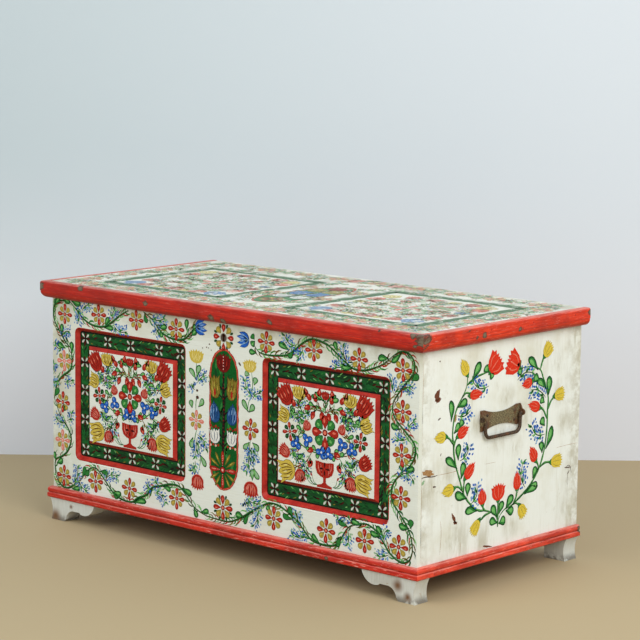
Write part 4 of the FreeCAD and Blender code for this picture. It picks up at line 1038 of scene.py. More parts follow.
def oval(coat):
    """The tall medallion between the panels: a wavy red line round green, with pairs of tulips up a stem."""
    line = divided(long_round(*OVAL), 9)
    coat.lay(line, "oval_green", 0)
    for y in OVAL_MARKS:
        drop(coat, brush.uniform(-34, 30), y, math.radians(brush.uniform(70, 110)), 26, 8,
             brush.choice(("green", "deep_green")), 1, shares=TICK_SHARES)
    wavy = [(x + 0.7 * math.cos(k * 2.1), y + 0.7 * math.sin(k * 2.1)) for k, (x, y) in enumerate(line)]
    ribbon(coat, wavy, 5.2, "red", 2, closed=True)
    ribbon(coat, [(x * 0.985, y) for x, y in wavy], 1.2, "salmon", 3, closed=True)
    ribbon(coat, smooth(OVAL_STEM), 8, "ink", 2)
    for k in range(24):
        dot(coat, wobble(1.2, 2.0), 238 + 8.4 * k, 2.2, ("maroon", "deep_red", "brown")[k % 3], 3)
    for side in (-1, 1):
        for y in OVAL_TWIGS:
            drop(coat, side * 4, y, math.radians(90 - side * 50), 17, 4.4, "ink", 2, shares=TICK_SHARES,
                 bend=0.1 * side)
    tulip(coat, 0, 455, 90, 42, 42, "deep_red", "maroon", shares=JAGGED_SHARES, count=5, level=2)
    for k in range(5):
        dot(coat, 0, 441 + 7 * k, 1.6, "blush", 5)
    for side in (-1, 1):
        slant = 90 - side * 6
        tulip(coat, side * 27, 398, slant, 52, 30, "olive", "deep_red", count=2)
        for out, y, lean, length, paint, level, bow in OLIVE_STROKES:
            turn = math.radians(lean)
            drop(coat, side * out, y, turn, length, 7, paint, level, shares=TICK_SHARES, bend=bow * side)
        tulip(coat, side * 28, 340, slant, 50, 31, "teal", "navy", count=3, shares=BUD_TULIP_SHARES)
        for reach in (0.3, 1.0):
            arc = [(side * (28 + 12 * reach * math.cos(t)), 338 + 20 * math.sin(t))
                   for t in (-1.2, -0.6, 0, 0.6, 1.1)]
            ribbon(coat, smooth(arc, 3), 1.8, "pale_blue", 5)
        tulip(coat, side * 27, 283, slant, 34, 31, "chalk", "navy", count=3)
        for k in range(4):
            dot(coat, side * (15 + 8 * k), 303 + 3 * (k % 2), 3.2, ("deep_red", "red")[k % 2], 5)
            dot(coat, side * (15 + 8 * k), 263 - 2 * (k % 2), 3.0, ("red", "blush")[k % 2], 5)
    base_flower(coat, -1, 207)


def base_flower(coat, x, y):
    """The flower at the medallion's foot: four thin red petals and pairs of yellow-green strokes."""
    for k in range(4):
        angle = k * math.pi / 2
        length, width = ((36, 12), (38, 10))[k % 2]
        petal(coat, *beside(x, y, angle, 7), angle, length, width, "red", 3)
        for step in range(5):
            dot(coat, *beside(x, y, angle, 11 + 5.5 * step), 1.0, "blush", 6)
        for lean in (-0.2, 0.2):
            slant = angle + math.pi / 4 + lean * 1.2
            petal(coat, *beside(x, y, slant, 13), slant, 33, 7.5, "olive", 2)
    dot(coat, x, y, 9, "ink", 4)
    dot(coat, x, y, 7, "red", 5)
    dot(coat, x, y, 3.2, "blush", 6)


# The openings in the facing and the floor of each panel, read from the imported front
PANEL_MIDDLES = (-310.5, 310.5)
PANEL_LEVEL = 321
OPENING_HALF = (187.5, 161)
MOAT_HALF = (182, 153)
FIELD_BASE_HALF = (150.25, 118.5)
FIELD_DEPTH = 4
MOAT_DEPTH = 11


def rounded(cx, cy, half_x, half_y, radius):
    """The outline of a rectangle with round corners."""
    line = []
    for k, (sx, sy) in enumerate(((1, 1), (-1, 1), (-1, -1), (1, -1))):
        for step in range(5):
            t = (k + step / 4) * math.pi / 2
            line.append((cx + sx * (half_x - radius) + radius * math.cos(t),
                         cy + sy * (half_y - radius) + radius * math.sin(t)))
    return line


def divided(line, spacing=14):
    """More points along the straight runs of a closed line."""
    made = []
    for (ax, ay), (bx, by) in zip(line, line[1:] + line[:1]):
        count = max(1, round(math.hypot(bx - ax, by - ay) / spacing))
        made += [(ax + (bx - ax) * k / count, ay + (by - ay) * k / count) for k in range(count)]
    return made


# The red line round an opening lies this far outside it, with this radius at its corners, in mm. The painted
# highlight line's last places, from the opening's lower right corner
RIM_OUT = 0.3
RIM_RADIUS = 14
RIM_HIGHLIGHT_CORNER = ((-3, 3), (2.6, 16), (3, 60))


def rims(coat):
    """The red line that the brush left on the face, all round each opening, and a painted highlight: a bright
    line along its foot and up its right corner, where its rounded edge catches the light."""
    half_x, half_y = OPENING_HALF
    foot = PANEL_LEVEL - half_y
    for cx in PANEL_MIDDLES:
        line = divided(rounded(cx, PANEL_LEVEL, half_x + RIM_OUT, half_y + RIM_OUT, RIM_RADIUS))
        ribbon(coat, line, 1.8, "red", 1, closed=True)
        # Painted highlight: a bright line along the opening's foot and up its right corner
        worn = [(cx - half_x + 22 + 14 * k, foot - 3.2 + 0.5 * math.sin(k * 1.7)) for k in range(25)]
        worn += [(cx + half_x + out, foot + up) for out, up in RIM_HIGHLIGHT_CORNER]
        ribbon(coat, worn, 2.4, "bright_white", 2)


def cross_flower(coat, x, y, depth):
    """Four pale petals in a cross, with dark red ones between them."""
    for k in range(4):
        angle = math.pi / 4 + k * math.pi / 2 + brush.uniform(-0.1, 0.1)
        root = beside(x, y, angle, 3.6)
        drop(coat, *root, angle, wobble(12.5), 5.6, "silver", 2, depth)
        drop(coat, *beside(*root, angle, 5), angle, 6, 3.2, "chalk", 3, depth)
        angle += math.pi / 4
        drop(coat, x, y, angle, wobble(14.5, 0.15), 5.6, "maroon", 1, depth)
        drop(coat, x, y, angle, wobble(8, 0.15), 2.0, "ink", 3, depth, TICK_SHARES)
    dot(coat, x, y, 2.4, "ink", 4, depth)


# The brush marks of the green border keep this far from its flowers, and stand this far apart, in mm
MOAT_CLEAR = 15
MOAT_SPACING = 9


def moat_run(coat, x0, y0, x1, y1, depth):
    """The brush marks between two flowers of the border: dark ones along its middle, bright ones beside."""
    heading = math.atan2(y1 - y0, x1 - x0)
    length = math.hypot(x1 - x0, y1 - y0)
    count = round(length / MOAT_SPACING)
    for k in range(count):
        across = length * (k + 0.5) / count
        if not MOAT_CLEAR < across < length - MOAT_CLEAR:
            continue
        spot = beside(x0, y0, heading, across, brush.uniform(-3, 3))
        drop(coat, *spot, heading + brush.uniform(-0.6, 0.6), wobble(15, 0.2), 4.4,
             brush.choice(("ink", "deep_green", "deep_green", "maroon")), 0, depth, TICK_SHARES)
        for side in (1, -1):
            spot = beside(x0, y0, heading, across + brush.uniform(-3, 3), side * brush.uniform(5, 11))
            drop(coat, *spot, heading + side * brush.uniform(0.2, 0.7), wobble(10, 0.25), 2.4,
                 brush.choice(("green", "leaf", "olive", "oval_green", "deep_green")), 1, depth, TICK_SHARES)


# Where the crossed flowers of each border stand: along its top, left, foot and right
MOAT_FLOWERS = (
    ((-474, -396, -317, -221, -151), (398, 331, 259), (-474, -398, -312, -232, -148), (388, 326, 264)),
    ((150, 230, 315, 396, 470), (390, 326, 252), (152, 238, 311, 392, 471), (397, 335, 263)),
)


def moat(coat, panel):
    """The sunk green border: crossed flowers in its corners and along it, with dashes between them, and dark
    lines of painted shade along both its edges, where the slopes meet its floor.
    """
    cx = PANEL_MIDDLES[panel]
    top, left, bottom, right = MOAT_FLOWERS[panel]
    half_x, half_y = ((outer + inner) / 2 for outer, inner in zip(MOAT_HALF, FIELD_BASE_HALF))
    ring = [(x, PANEL_LEVEL + half_y) for x in top] + [(cx + half_x, y) for y in right]
    ring += [(x, PANEL_LEVEL - half_y) for x in bottom[::-1]] + [(cx - half_x, y) for y in left[::-1]]
    # Painted shade: dark lines along the floor's edges, at the foot of the slopes
    for (edge_x, edge_y), grown in ((MOAT_HALF, -2), (FIELD_BASE_HALF, 2)):
        edge = divided(rounded(cx, PANEL_LEVEL, edge_x + grown, edge_y + grown, 3))
        ribbon(coat, edge, 3.2, "ink", 0, MOAT_DEPTH, closed=True)
    for (x0, y0), (x1, y1) in zip(ring, ring[1:] + ring[:1]):
        cross_flower(coat, x0, y0, MOAT_DEPTH)
        moat_run(coat, x0, y0, x1, y1, MOAT_DEPTH)


# One panel's bouquet, from its field's middle. Tulips: place, angle, length, width, paint, lines, outline
BOUQUET_TULIPS = (
    (-121, 86, 125, 50, 42, "red", "deep_red", JAGGED_SHARES),
    (-80, 95, 88, 30, 40, "yellow", "umber", JAGGED_SHARES),
    (-126, 39, 165, 34, 34, "yellow", "umber", TULIP_SHARES),
    (70, 95, 85, 30, 38, "yellow", "umber", JAGGED_SHARES),
    (112, 87, 55, 50, 44, "red", "deep_red", JAGGED_SHARES),
    (118, 46, 25, 34, 34, "yellow", "umber", TULIP_SHARES),
    (116, -37, 35, 38, 32, "red", "deep_red", JAGGED_SHARES),
    (111, -84, -15, 50, 42, "yellow", "umber", TULIP_SHARES),
    (74, -90, 262, 32, 32, "red", "pink", JAGGED_SHARES),
    (-123, -42, 150, 34, 28, "red", "pink", JAGGED_SHARES),
    (-116, -85, 195, 50, 46, "yellow", "umber", TULIP_SHARES),
    (-75, -92, 280, 30, 30, "red", "pink", JAGGED_SHARES),
    (-56, 26, 105, 26, 22, "red", "pink", BUD_TULIP_SHARES),
    (48, 30, 70, 26, 22, "red", "pink", BUD_TULIP_SHARES),
    (-2, 98, 90, 18, 22, "red", "deep_red", JAGGED_SHARES),
)
# Length and width of a bud, and the root and angle of each
BUD_SIZE = (21, 14)
BOUQUET_BUDS = (
    (-30, 80, 100), (16, 80, 85), (43, 84, 60), (-36, 58, 250), (-9, 60, 250), (6, 60, 290), (27, 60, 290),
    (-45, 82, 130), (-36, -26, 200), (25, -26, -20), (-40, -52, 240), (36, -52, -60), (-56, 90, 115),
    (56, 92, 70), (-22, 92, 80), (20, 92, 100), (-46, 68, 200), (40, 70, -20), (-66, -84, 260),
    (62, -84, 280), (-92, 62, 120), (84, 64, 60),
)
BOUQUET_STEMS = (
    ((-2, -46), (-14, -34), (-40, -32), (-70, -22), (-86, -8), (-92, 12)),
    ((2, -46), (14, -34), (38, -32), (62, -20), (80, -4), (90, 14)),
    ((-70, -22), (-92, -36), (-108, -42)), ((62, -20), (84, -34), (104, -38)),
    ((-40, -32), (-58, -58), (-84, -72), (-98, -80)), ((38, -32), (58, -56), (80, -70), (96, -78)),
    ((-58, -58), (-70, -68), (-74, -78)), ((58, -56), (70, -66), (73, -76)),
    ((-86, -8), (-72, 8), (-62, 16)), ((80, -4), (66, 10), (54, 18)),
    ((-62, 40), (-74, 58), (-94, 70), (-108, 74)), ((52, 42), (66, 58), (86, 68), (100, 74)),
    ((-74, 58), (-80, 72), (-80, 82)), ((66, 58), (70, 72), (70, 82)),
    ((-62, 40), (-88, 44), (-110, 42)), ((52, 42), (80, 46), (102, 46)),
    ((-2, 56), (-2, 74), (-2, 90)), ((-2, 60), (-18, 66), (-28, 74)), ((0, 60), (14, 66), (16, 74)),
    ((-18, 66), (-30, 66), (-36, 62)), ((14, 66), (24, 66), (27, 64)),
)
BOUQUET_LEAVES = (
    (-6, 84, -34, 102), (2, 84, 30, 102), (-14, 86, -44, 94), (10, 86, 38, 94), (-44, -34, -58, -24),
    (40, -34, 54, -22), (-16, -34, -28, -44), (16, -34, 28, -44), (-96, -38, -86, -52), (88, -36, 80, -50),
    (-62, 34, -76, 30), (54, 36, 70, 32), (-48, 44, -62, 62), (44, 44, 58, 62), (-60, 50, -84, 52),
    (56, 50, 80, 52), (-34, 70, -52, 76), (30, 70, 50, 76), (-70, 10, -88, 20), (62, 10, 82, 20),
    (-78, -4, -96, -12), (72, -4, 90, -10), (-26, -30, -40, -18), (24, -30, 38, -18), (-64, -40, -84, -52),
    (60, -40, 80, -50), (-46, -46, -44, -64), (42, -46, 42, -64), (-104, 60, -94, 46), (98, 60, 88, 46),
)
# Middle and radius of the great rosette, the same and tilt of the small ones, and middles of the blue flowers
BOUQUET_ROSETTE = (-2, 15, 38)
BOUQUET_SIDE_ROSETTES = ((-107, 4, 21, 0.1), (102, 8, 21, -0.1))
CLOVER_RADIUS = 13.5
BOUQUET_BLUES = ((-55, -8), (-88, -20), (48, -5), (77, -13), (-12, -30), (8, -31))
BOUQUET_SPRAYS = (
    (-84, 58, -58, 84, 0.2), (78, 56, 60, 82, -0.2), (-98, 28, -68, 34, 0.3), (90, 28, 62, 36, -0.3),
    (-100, -32, -62, -52, -0.3), (92, -30, 60, -52, 0.3), (-60, -62, -56, -88, 0.1), (56, -62, 54, -88, -0.1),
    (-46, 62, -60, 50, 0.2), (44, 62, 58, 52, -0.2), (-96, 36, -106, 62, 0.2), (92, 38, 104, 62, -0.2),
)


# The left half of the vase's outline, how far it stands to the left, the feet of the light streaks on it with
# their tips' height, and the middle of its crossed flower
VASE_HALF = (
    (-27, -50), (-27, -66), (-22, -78), (-12, -84), (-4, -86), (-4, -97), (-10, -101), (-22, -104),
    (-22, -109),
)


VASE_LEFT = 2
VASE_STREAKS = ((-21, -76), (-13, -80), (12, -80), (18, -74))
VASE_FLOWER = (-2, -66)


def vase(coat, depth):
    """A red goblet with a crossed flower on its bowl and leafy sprigs at its foot."""
    outline = [*VASE_HALF, *((-x, y) for x, y in VASE_HALF[::-1])]
    coat.lay([(x - VASE_LEFT, y) for x, y in outline], "red", 3, depth)
    for x, tip in VASE_STREAKS:
        ribbon(coat, [(x, -54), (x * 0.96, -66), (x * 0.7, tip)], 2.2, "pink", 4, depth)
    dot(coat, -2, -49, 19, "chalk", 4, depth, 0.16)
    for k in range(4):
        angle = k * math.pi / 2
        slant = angle + math.pi / 4
        drop(coat, *beside(*VASE_FLOWER, angle, 2), angle, 13, 5, "maroon", 4, depth)
        drop(coat, *beside(*VASE_FLOWER, slant, 3), slant, 11, 6, "red", 4, depth)
    for side in (-1, 1):
        for k in range(4):
            x = side * (30 + 7 * k) - 2
            line = arched(side * 22, -104, x + side * 6, -88 + 2 * k - 6 * (k % 2), -0.2 * side)
            ribbon(coat, line, 1.4, "green", 1, depth)
            paint = ("red", "leaf", "deep_red", "green")[k]
            drop(coat, *line[-1], math.radians(90 - side * 35), 10, 4.4, paint, 2, depth)


class Shifted:
    """A coat seen from another middle, for a bouquet that is painted twice."""

    def __init__(self, coat, x, y):
        self.coat, self.x, self.y = coat, x, y

    def moved(self, outline):
        return [(self.x + a, self.y + b) for a, b in outline]

    def lay(self, outline, paint, level=0, depth=0.0):
        self.coat.lay(self.moved(outline), paint, level, depth)

    def strip(self, left, right, paint, level=0, depth=0.0, closed=False):
        self.coat.strip(self.moved(left), self.moved(right), paint, level, depth, closed)


def bouquet(coat, depth):
    """The vase and the flowers that grow out of it, as even on both sides as the painter made them."""
    for stem in BOUQUET_STEMS:
        line = smooth(stem)
        ribbon(coat, line, 2.8, brush.choice(("green", "deep_green", "umber")), 0, depth)
        thorns(coat, line, 9, ("umber", "green", "red", "leaf", "sage", "olive"), 14, 1, depth, 3.2)
    for place in BOUQUET_LEAVES:
        leaf(coat, *place, width=11.5, depth=depth)
    for place in BOUQUET_SPRAYS:
        spray(coat, *place, paints=("blue", "navy", "green", "pale_blue", "leaf"), size=4, depth=depth)
    rosette(coat, *BOUQUET_ROSETTE, ("red", "green"), 2, depth, full=1.3)
    for x, y, radius, tilt in BOUQUET_SIDE_ROSETTES:
        rosette(coat, x, y, radius, ("red", "deep_green"), 2, depth, tilt)
    for x, y in BOUQUET_BLUES:
        clover(coat, x, y, CLOVER_RADIUS, depth)
    for x, y, angle in BOUQUET_BUDS:
        petal(coat, x, y, math.radians(angle), *BUD_SIZE, "red", 2, depth, BUD_SHARES)
    for x, y, angle, length, width, paint, lines, shares in BOUQUET_TULIPS:
        tulip(coat, x, y, angle, length, width, paint, lines, 2, depth, shares, 5)
    vase(coat, depth)


def clover(coat, x, y, radius, depth):
    """A small blue flower of three round petals."""
    turn = brush.uniform(0, 6.3)
    for k in range(3):
        angle = turn + k * math.pi * 2 / 3
        spot = beside(x, y, angle, radius * 0.62)
        dot(coat, *spot, wobble(radius * 0.66), "navy", 2, depth, 0.9, angle)
        dot(coat, *spot, radius * 0.54, "azure", 3, depth, 0.85, angle)
        drop(coat, *spot, angle + 0.4, radius * 0.5, radius * 0.22, "pale_blue", 4, depth, TICK_SHARES)
    dot(coat, x, y, radius * 0.2, "chalk", 5, depth)


# The right end: a wreath. Places in mm from the middle of the case's depth and up from the floor

WREATH_STEMS = (
    ((-9, 124), (-13, 146), (-31, 160), (-54, 168), (-77, 172), (-100, 185), (-123, 206), (-135, 225),
     (-146, 252), (-158, 279), (-167, 310), (-169, 333), (-173, 356), (-168, 391), (-157, 414), (-138, 437),
     (-127, 456), (-124, 480)),
    ((-9, 124), (-4, 145), (15, 160), (38, 164), (62, 175), (85, 187), (108, 202), (127, 221), (142, 241),
     (154, 268), (161, 295), (165, 329), (165, 360), (167, 391), (158, 418), (146, 441), (135, 460),
     (108, 470), (85, 472), (58, 472)),
    ((-127, 456), (-112, 464), (-85, 473), (-54, 477)), ((135, 460), (141, 476), (148, 489)),
    ((-198, 354), (-182, 346), (-168, 330)), ((192, 393), (177, 383), (167, 365)),
    ((-169, 237), (-150, 236), (-133, 222)), ((184, 242), (160, 244), (140, 236)),
    ((-73, 147), (-54, 158), (-31, 161)), ((69, 160), (54, 168), (38, 164)),
    ((-114, 437), (-130, 440), (-145, 430)), ((102, 441), (119, 445), (140, 434)),
    ((-154, 350), (-164, 338), (-168, 322)), ((135, 375), (150, 366), (163, 345)),
    ((-127, 256), (-131, 237), (-131, 218)), ((125, 256), (135, 241), (135, 227)),
    ((-63, 187), (-62, 175), (-54, 168)), ((-9, 187), (-9, 160), (-9, 140)),
    ((58, 198), (56, 181), (44, 166)),
)
# Place, angle, length, width, paint and outline of each tulip
WREATH_TULIPS = (
    (-29, 492, 42, 46, 56, "bright_red", FAN_SHARES), (36, 486, 152, 48, 56, "bright_red", FAN_SHARES),
    (-92, 433, 0, 46, 22, "bright_red", BUD_TULIP_SHARES),
    (86, 434, 188, 38, 24, "bright_red", BUD_TULIP_SHARES),
    (-135, 357, 22, 42, 26, "bright_red", BUD_TULIP_SHARES),
    (113, 380, 163, 46, 25, "bright_red", BUD_TULIP_SHARES),
    (-110, 268, 42, 46, 28, "bright_red", BUD_TULIP_SHARES),
    (114, 272, 122, 42, 28, "bright_red", BUD_TULIP_SHARES),
    (-67, 203, 98, 38, 30, "bright_red", BUD_TULIP_SHARES),
    (-9, 203, 90, 38, 44, "bright_red", JAGGED_SHARES),
    (58, 220, 93, 44, 28, "bright_red", BUD_TULIP_SHARES),
    (-137, 499, 120, 42, 28, "lemon", BUD_TULIP_SHARES), (162, 503, 48, 38, 32, "lemon", JAGGED_SHARES),
    (-217, 354, 178, 40, 26, "lemon", BUD_TULIP_SHARES), (210, 395, 5, 38, 30, "lemon", JAGGED_SHARES),
    (-188, 233, 184, 42, 28, "lemon", BUD_TULIP_SHARES), (204, 242, 0, 42, 30, "lemon", JAGGED_SHARES),
    (-89, 135, 228, 38, 28, "lemon", JAGGED_SHARES), (79, 145, -55, 34, 30, "lemon", JAGGED_SHARES),
)
WREATH_LEAVES = (
    (-108, 466, -80, 503), (127, 460, 90, 492), (-179, 383, -181, 431), (-158, 412, -124, 424),
    (167, 398, 169, 442), (158, 414, 123, 438), (-169, 356, -150, 378), (-155, 277, -196, 306),
    (-152, 295, -151, 332), (161, 275, 184, 326), (156, 329, 143, 350), (-142, 252, -133, 289),
    (148, 268, 142, 295), (-119, 206, -162, 223), (-119, 210, -116, 241), (104, 202, 134, 197),
    (115, 214, 127, 241), (85, 183, 135, 196), (-83, 172, -126, 178), (-12, 147, -32, 176),
    (-6, 152, 9, 180), (-10, 133, -39, 143), (-6, 131, 18, 140), (19, 156, 48, 152), (19, 160, 45, 188),
    (-52, 476, -64, 492), (-48, 476, -34, 464), (62, 473, 50, 486), (70, 472, 52, 462),
    (153, 383, 138, 394), (133, 437, 112, 448), (-149, 366, -140, 384),
)
WREATH_SPRAYS = (
    (-50, 446, -106, 462, 0.18), (-158, 394, -112, 400, -0.15), (-147, 293, -115, 324, -0.2),
    (-108, 190, -86, 233, -0.25), (52, 446, 108, 456, 0.15), (157, 394, 100, 418, -0.12),
    (157, 310, 106, 337, 0.2), (88, 198, 80, 256, 0.2),
)


# Cracks and joints that show through the paint of an end: points along each, width and paint
END_LINES = (
    (((-275.5, 84), (-275, 200), (-276, 330), (-275, 470), (-276, 544)), 1.6, "tan"),
    (((-276, 118), (-275.5, 150), (-276, 176)), 2.4, "brown"), (((-275, 392), (-276, 428)), 2.2, "brown"),
    (((-281, 273), (-262, 275), (-238, 272), (-222, 273)), 2.2, "brown"),
    (((-222, 273), (-180, 272), (-150, 273)), 0.8, "tan"), (((-60, 273), (-20, 272)), 0.5, "tan"),
    (((200, 272), (240, 273), (284, 272)), 0.6, "tan"),
    (((262, 205), (255, 222), (247, 224), (240, 221)), 1.4, "brown"),
    (((250, 214), (246, 190), (248, 176)), 0.9, "brown"),
    (((-210, 96), (-206, 140), (-209, 170)), 0.8, "tan"), (((-140, 88), (-138, 112)), 0.8, "tan"),
)


# The strokes of a wreath's stem: right and up of its line, width, paint and coat
WREATH_STEM_STROKES = (
    (0, 0, 5.4, "green", 0), (-1.3, -0.8, 1.6, "deep_green", 1), (1.2, 0.7, 1.4, "leaf", 1),
)
# The green cup under each tulip: how far down its root is, and its strokes' length, width, paint and coat
CUP_BELOW = 9
CUP_STROKES = ((19, 16, "deep_green", 2), (15, 10, "green", 3))


def paint_end(coat):
    for line, width, paint in END_LINES:
        ribbon(coat, smooth(line), width, paint)
    for stem in WREATH_STEMS:
        line = smooth(stem)
        for right, up, width, paint, level in WREATH_STEM_STROKES:
            ribbon(coat, [(x + right, y + up) for x, y in line], width, paint, level)
    for place in WREATH_LEAVES:
        leaf(coat, *place, width=21, level=2)
    for place in WREATH_SPRAYS:
        spray(coat, *place, paints=("azure", "azure", "blue", "pale_blue"), size=5.6, level=1)
    for x, y, angle, length, width, paint, shares in WREATH_TULIPS:
        turn = math.radians(angle)
        root = beside(x, y, turn, -length / 2 - CUP_BELOW)
        for cup in CUP_STROKES:
            drop(coat, *root, turn, *cup)
        lines = "salmon" if paint == "bright_red" else "ochre"
        tulip(coat, x, y, angle, length, width, paint, lines, 3, 0.0, shares, 3, edge=0.4, lit=False)


# Places where the paint of an end has come off: middle, length, width, angle and paint
END_CHIPS = (
    (-227, 447, 32, 18, 70, "wood"), (-223, 436, 22, 10, 20, "wood"), (-165, 390, 24, 11, 85, "tan"),
    (-255, 282, 44, 15, -10, "tan"), (-270, 264, 16, 8, 40, "sage"), (-163, 168, 30, 10, -62, "wood"),
    (-158, 158, 16, 9, -20, "wood"), (-219, 395, 12, 4, 15, "brown"), (-212, 316, 7, 3, 60, "brown"),
    (-220, 520, 5, 4, 0, "brown"), (247, 220, 30, 3, -5, "brown"), (250, 208, 14, 2.5, 40, "brown"),
    (-232, 249, 14, 4, -5, "brown"), (-45, 86, 40, 5, -12, "wood"),
)


def chip(coat, x, y, length, width, angle, paint, level=0, depth=0.0):
    """A ragged patch of bare wood."""
    outline = []
    for k in range(16):
        t = 2 * math.pi * k / 16
        rough = brush.uniform(0.62, 1.1)
        outline.append((length / 2 * math.cos(t) * rough, width / 2 * math.sin(t) * rough))
    coat.lay(turned(outline, math.radians(angle), x, y), paint, level, depth)


# The lid: places in mm from the middle of the lid, seen from above

# How far the lid's colours have faded towards its white
LID_FLOWERS_FADE_SHARE = 0.52
LID_FRAMES_FADE_SHARE = 0.38
# The middle lines of the two green frames: left, right, front and rear
LID_FRAMES = ((-475, -105, -197, 163), (125, 503, -207, 172))
# Where small leaves and blots are scattered outside the frames: left, right, front, rear and how many
LID_FIELDS = ((-560, 560, -262, -222, 44), (-560, 560, 196, 268, 60), (-560, -500, -230, 230, 22),
              (526, 560, -230, 230, 18), (-84, 104, -200, 200, 34))
# How far inside a frame's middle line its own small leaves and blots begin, and how many they are
LID_FILL_INSET = 34
LID_FILL = 60
# The bands of a frame: how far outside its middle line, and width
LID_BANDS = ((0, 28), (21, 3))
# The lid's medallion, as the front's is given, its stem, and the middle and radius of the flower at its foot
LID_OVAL = (5, 58, -181, 146, 120)
LID_STEM = ((5, 84), (7, 30), (4, -40), (5, -94))
LID_FOOT_ROSETTE = (5, -128, 34)
# The medallion's top tulip, as the front's are given, and what lies beside it on both sides: the heights of
# the rosettes, and of the roots of the sprays
LID_TOP_TULIP = (5, 104, 90, 52, 52, "deep_red", "maroon")
LID_SIDE_ROSETTES = (-44, 86)
LID_SIDE_SPRAYS = (-150, -90, 50, 130)
# Flowers just inside a frame, from its middle: place, angle, length, width, paint and outline
LID_TULIPS = (
    (-144, 122, 130, 50, 42, "yellow", JAGGED_SHARES), (-92, 140, 100, 44, 38, "red", JAGGED_SHARES),
    (-29, 140, 90, 42, 40, "red", JAGGED_SHARES), (28, 140, 84, 34, 30, "yellow", JAGGED_SHARES),
    (80, 140, 80, 46, 40, "red", JAGGED_SHARES), (132, 128, 50, 50, 42, "yellow", JAGGED_SHARES),
    (-146, 68, 170, 42, 44, "bright_red", JAGGED_SHARES), (142, 88, 10, 44, 46, "bright_red", JAGGED_SHARES),
    (-146, 12, 180, 34, 32, "yellow", TULIP_SHARES), (140, 28, 0, 34, 30, "blue", TULIP_SHARES),
    (146, -22, 0, 36, 34, "red", JAGGED_SHARES), (140, -76, -10, 40, 42, "bright_red", JAGGED_SHARES),
    (-136, -138, 225, 56, 50, "blue", TULIP_SHARES), (-88, -146, 265, 38, 42, "red", JAGGED_SHARES),
    (-40, -148, 268, 30, 32, "yellow", JAGGED_SHARES), (6, -142, 270, 46, 52, "red", JAGGED_SHARES),
    (46, -148, 272, 30, 30, "yellow", JAGGED_SHARES), (84, -143, 280, 42, 42, "red", JAGGED_SHARES),
    (134, -136, 315, 56, 50, "blue", TULIP_SHARES), (-140, -80, 190, 42, 38, "red", JAGGED_SHARES),
    (-70, 84, 120, 32, 26, "red", BUD_TULIP_SHARES), (66, 86, 60, 32, 26, "red", BUD_TULIP_SHARES),
    (-76, -70, 230, 32, 28, "red", BUD_TULIP_SHARES), (74, -70, 310, 32, 28, "red", BUD_TULIP_SHARES),
)


# The pairs of tulips in the lid's medallion: height, length, paint and lines
LID_PAIRS = ((58, 50, "olive", "umber"), (-2, 62, "blue", "navy"), (-66, 44, "chalk", "navy"))
LID_SPECKS = ("green", "sage", "salmon", "pink", "ochre", "pale_blue")


def scatter(coat, left, right, front, rear, count):
    """Small leaves and blots between the larger flowers of the lid."""
    for k in range(count):
        x, y, angle = brush.uniform(left, right), brush.uniform(front, rear), brush.uniform(0, 6.3)
        tip = beside(x, y, angle, brush.uniform(24, 38))
        if k % 3:
            spray(coat, x, y, *tip, 0.2, LID_SPECKS, 5, 0)
        else:
            leaf(coat, x, y, *tip, level=0)


def paint_lid(coat, frames):
    """Two framed bouquets with a medallion between them and flowers all round, worn by use."""
    for field in LID_FIELDS:
        scatter(coat, *field)
    for left, right, front, rear in LID_FRAMES:
        inset = LID_FILL_INSET
        scatter(coat, left + inset, right - inset, front + inset, rear - inset, LID_FILL)
    for left, right, front, rear in LID_FRAMES:
        cx, cy = (left + right) / 2, (front + rear) / 2
        half_x, half_y = (right - left) / 2, (rear - front) / 2
        for grown, width in LID_BANDS:
            edge = divided(rounded(cx, cy, half_x + grown, half_y + grown, 6))
            ribbon(frames, edge, width, "deep_green", closed=True)
        lid_bouquet(Shifted(coat, cx, cy))
    line = divided(long_round(*LID_OVAL), 12)
    frames.lay(line, "oval_green", 0)
    ribbon(frames, line, 5, "red", 2, closed=True)
    tulip(frames, *LID_TOP_TULIP)
    middle = LID_OVAL[0]
    for side in (-1, 1):
        for y, length, paint, lines in LID_PAIRS:
            tulip(frames, middle + side * 28, y, 90 - side * 10, length, 44, paint, lines)
        for y in LID_SIDE_ROSETTES:
            rosette(coat, middle + side * 82, y, 27, ("red", "ochre"), 2)
        for y in LID_SIDE_SPRAYS:
            spray(coat, middle + side * 66, y, middle + side * 80, y + 46, 0.2, LID_SPECKS, 6)
            leaf(coat, middle + side * 62, y + 20, middle + side * 88, y + 34)
    ribbon(frames, smooth(LID_STEM), 8, "ink", 1)
    rosette(frames, *LID_FOOT_ROSETTE, ("deep_red", "olive"), 2)
    garland(coat)


# The rays of a framed bouquet: how many, and how far from its middle each begins and ends. The two leaves on
# every other one, root and tip: how far out and how far aside
LID_RAYS = 16
LID_RAY_START = 44
LID_RAY_END = 112
LID_RAY_LEAVES = (((62, 4), (92, 16)), ((74, -4), (104, -18)))
# The oval of sprays round them: how many, half its width and half its height
LID_RING = 22
LID_RING_HALF = (148, 136)


